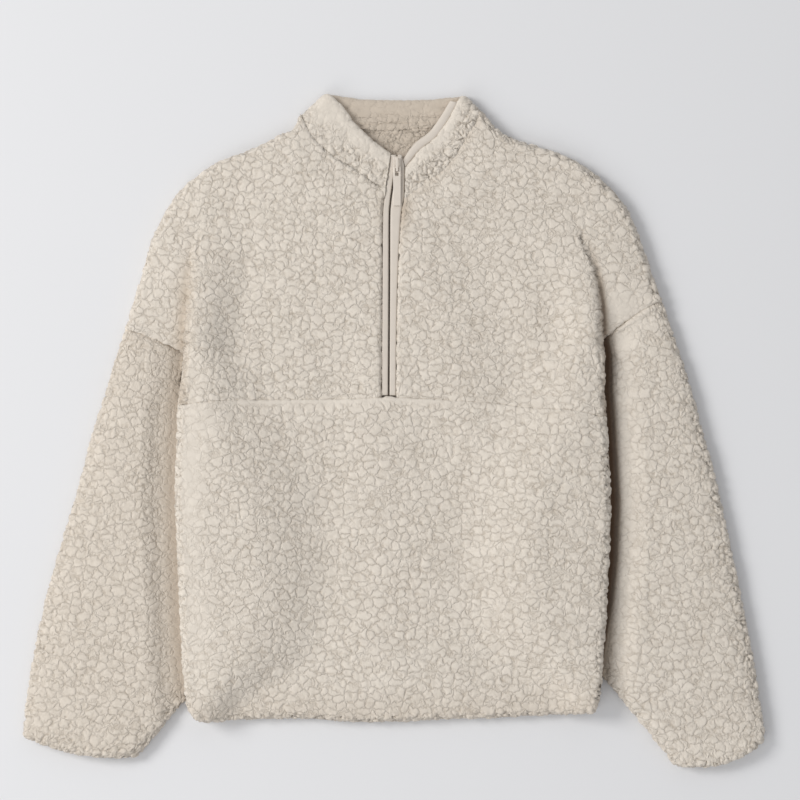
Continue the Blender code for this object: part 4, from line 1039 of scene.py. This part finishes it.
# Collar facing. A narrow strip of smooth woven cloth that binds the inside of the right front edge.
FACING = (
    (12.7, 291.6, 10.4, 299.5), (28.3, 310.6, 23.0, 316.8), (45.3, 323.6, 39.2, 329.4),
    (58.6, 341.9, 51.4, 345.8), (66.2, 355.4, 58.9, 358.0), (69.6, 361.6, 62.5, 363.4),
)
FACING_LEVEL = 15.4
FACING_TUCK = 0.22
WOVEN = (0.690, 0.622, 0.545)


def woven_finish(name, colour, across, lengthwise):
    """Fine woven tape: threads both ways as low bump and faint colour, and a little soft shine."""
    tape = Finish(name, {"Roughness": 0.72, "Sheen Weight": 0.1, "Specular IOR Level": 0.3})
    threads = []
    for axis, count in (("X", across), ("Y", lengthwise)):
        threads.append(tape.node("TexWave", {"wave_type": "BANDS", "bands_direction": axis},
                                 {"Vector": tape.place(), "Scale": count, "Distortion": 0.6,
                                  "Detail": 1.0, "Detail Scale": 2.0}, "Fac"))
    weave = threads[0] * 0.5 + threads[1] * 0.5
    shade = weave * 0.35 + tape.noise(120.0, 3.0) * 0.65
    low, high = (tuple(k * part for k in colour) for part in (0.90, 1.06))
    tape.feed("Base Color", tape.blend(shade, low, high))
    tape.bump(weave, 0.0002, 0.6)
    return tape.material


woven = woven_finish("woven_tape", WOVEN, 420.0, 380.0)


def plain_mesh(name, points, faces, finish):
    """A closed piece from points in millimetres, with no pile."""
    return smooth_piece(name, closed_mesh(name, points, faces), finish)


def strip(outer, inner, over, under, power=5.0, count=11):
    """A strip between two lines in plan, its top a low arch: a superellipse of POWER across, from UNDER
    to OVER."""
    t = np.linspace(0, 1, count)
    arch = (1 - np.abs(2 * t - 1) ** power) ** 0.5
    plan = outer[:, None] + (inner - outer)[:, None] * t[None, :, None]
    top = np.dstack([plan, under[:, None] + 0.3 + (over - under - 0.3)[:, None] * arch])
    foot = np.dstack([plan, under[:, None] + 0 * plan[..., 0]])
    return wall_panel(top, foot, 4)


def facing_strip():
    """The strip along the collar's inner front edge, its outer side tucked into the collar."""
    rows = along(FACING, np.linspace(0, 1, 90))
    level = np.full(len(rows), FACING_LEVEL)
    outer = rows[:, 0:2] + (rows[:, 0:2] - rows[:, 2:4]) * FACING_TUCK
    return strip(outer, rows[:, 2:4], level, level - 3.4, 2.4)


facing = plain_mesh("collar_facing_cloth", *facing_strip(), woven)
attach(facing, "garment")
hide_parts("collar_facing")

# Zip tapes. Two narrow woven tapes sewn under the yoke's edges. Each turns under at the slot, where the
# coil's teeth are fixed to its hidden side, so the closed zip shows as one dark line.
TAPE_SLOT = 0.9
TAPE_WALL = 1.4
TAPE_DEPTH = 2.8
TAPE_TOP_LEFT = ((-7.6, 272.0), (-2.7, 304.0))
TAPE_TOP_RIGHT = ((12.0, 266.0), (12.2, 289.5), (9.8, 299.5), (9.2, 304.0))


def tape_strip(sign, neck, collar_end):
    """From beside the slot to the yoke's edge, and above the neck to the collar's front end."""
    beside = zip_edge(neck, sign)(np.linspace(0.985, 0.0, 60)) - [sign * 1.3 * SEAM_GAP, 0.0]
    outer = np.vstack([beside, np.array(collar_end)])
    outer = along(outer, np.linspace(0, 1, 150))
    slot = line_x(ZIP_LINE, outer[:, 1]) + sign * TAPE_SLOT
    inner = np.stack([slot, outer[:, 1]], -1)
    over = front_form(0 * slot, np.minimum(outer[:, 1], 250.0)) + FRONT_WALL - TAPE_DEPTH
    return strip(outer, inner, over, over - TAPE_WALL)


for title, side_sign, neck_end, collar_end in (("zip_tape_left", -1, NECK_LEFT[0], TAPE_TOP_LEFT),
                                               ("zip_tape_right", 1, NECK_RIGHT[0], TAPE_TOP_RIGHT)):
    tape = plain_mesh(title + "_woven", *tape_strip(side_sign, neck_end, collar_end), woven)
    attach(tape, "garment")
    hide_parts(title)

# Slider and pull tab. Cast metal pieces lacquered in the cloth's colour. The slider runs on both tapes,
# and the tab hangs on its bail. Both keep their solids.
LACQUER = (0.700, 0.630, 0.550)


def lacquer_finish():
    """Lacquered casting: satin, with faint cloudy unevenness and a little grain."""
    metal = Finish("lacquered_metal", {"Metallic": 0.0, "Coat Weight": 0.35, "Coat Roughness": 0.25})
    cloud = metal.noise(260.0, 3.0)
    low, high = (tuple(k * part for k in LACQUER) for part in (0.93, 1.05))
    metal.feed("Base Color", metal.blend(cloud, low, high))
    metal.feed("Roughness", cloud * 0.16 + 0.30)
    metal.bump(metal.noise(2600.0, 2.0), 0.00004, 0.5)
    return metal.material


lacquer = lacquer_finish()
for title in ("slider", "pull_tab"):
    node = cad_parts[title]
    node.data.materials.clear()
    node.data.materials.append(lacquer)

# Studio. A pale floor, a large soft light from the upper left, an even pale surround, and a camera
# straight above.
FLOOR_HALF = 3.0
FLOOR_PALE = (0.766, 0.766, 0.776)
SURROUND = (0.97, 0.98, 1.0, 1.0)
SURROUND_POWER = 0.56


def studio_floor():
    """A square of pale paper."""
    mesh = bpy.data.meshes.new("floor")
    corners = [(-FLOOR_HALF, -FLOOR_HALF, 0), (FLOOR_HALF, -FLOOR_HALF, 0), (FLOOR_HALF, FLOOR_HALF, 0),
               (-FLOOR_HALF, FLOOR_HALF, 0)]
    mesh.from_pydata(corners, [], [(0, 1, 2, 3)])
    paper = Finish("floor_paper", {"Roughness": 0.85, "Specular IOR Level": 0.2})
    low = tuple(k * 0.99 for k in FLOOR_PALE)
    paper.feed("Base Color", paper.blend(paper.noise(3.0, 2.0), low, FLOOR_PALE))
    mesh.materials.append(paper.material)
    made = bpy.data.objects.new("floor", mesh)
    bpy.context.scene.collection.objects.link(made)


studio_floor()

world = bpy.data.worlds.new("surround")
world.use_nodes = True
world.node_tree.nodes["Background"].inputs["Color"].default_value = SURROUND
world.node_tree.nodes["Background"].inputs["Strength"].default_value = SURROUND_POWER
bpy.context.scene.world = world


def soft_light(name, place, size, power, colour):
    """A square lamp SIZE across at PLACE, turned to the garment's middle."""
    lamp = bpy.data.lights.new(name, "AREA")
    lamp.size = size
    lamp.energy = power
    lamp.color = colour
    made = bpy.data.objects.new(name, lamp)
    made.location = place
    towards = -np.array(place)
    yaw = np.arctan2(towards[0], -towards[1])
    tilt = np.arctan2(np.hypot(towards[0], towards[1]), -towards[2])
    made.rotation_euler = (tilt, 0.0, yaw + np.pi)
    bpy.context.scene.collection.objects.link(made)


soft_light("key", (-3.2, 1.0, 2.9), 1.7, 104.0, (1.0, 0.992, 0.98))
soft_light("fill", (-2.2, -2.4, 2.6), 2.4, 30.0, (1.0, 0.995, 0.99))

SENSOR = 36.0
CAMERA_HEIGHT = 4.0
VIEW_WIDTH = 0.88
VIEW_LEVEL = 0.010
VIEW_CENTRE = (0.00715, 0.03465)
camera = bpy.data.cameras.new("camera")
camera.sensor_width = SENSOR
camera.lens = SENSOR * (CAMERA_HEIGHT - VIEW_LEVEL) / VIEW_WIDTH
eye = bpy.data.objects.new("camera", camera)
eye.location = (*VIEW_CENTRE, CAMERA_HEIGHT)
bpy.context.scene.collection.objects.link(eye)
bpy.context.scene.camera = eye
bpy.context.scene.view_settings.view_transform = "Standard"
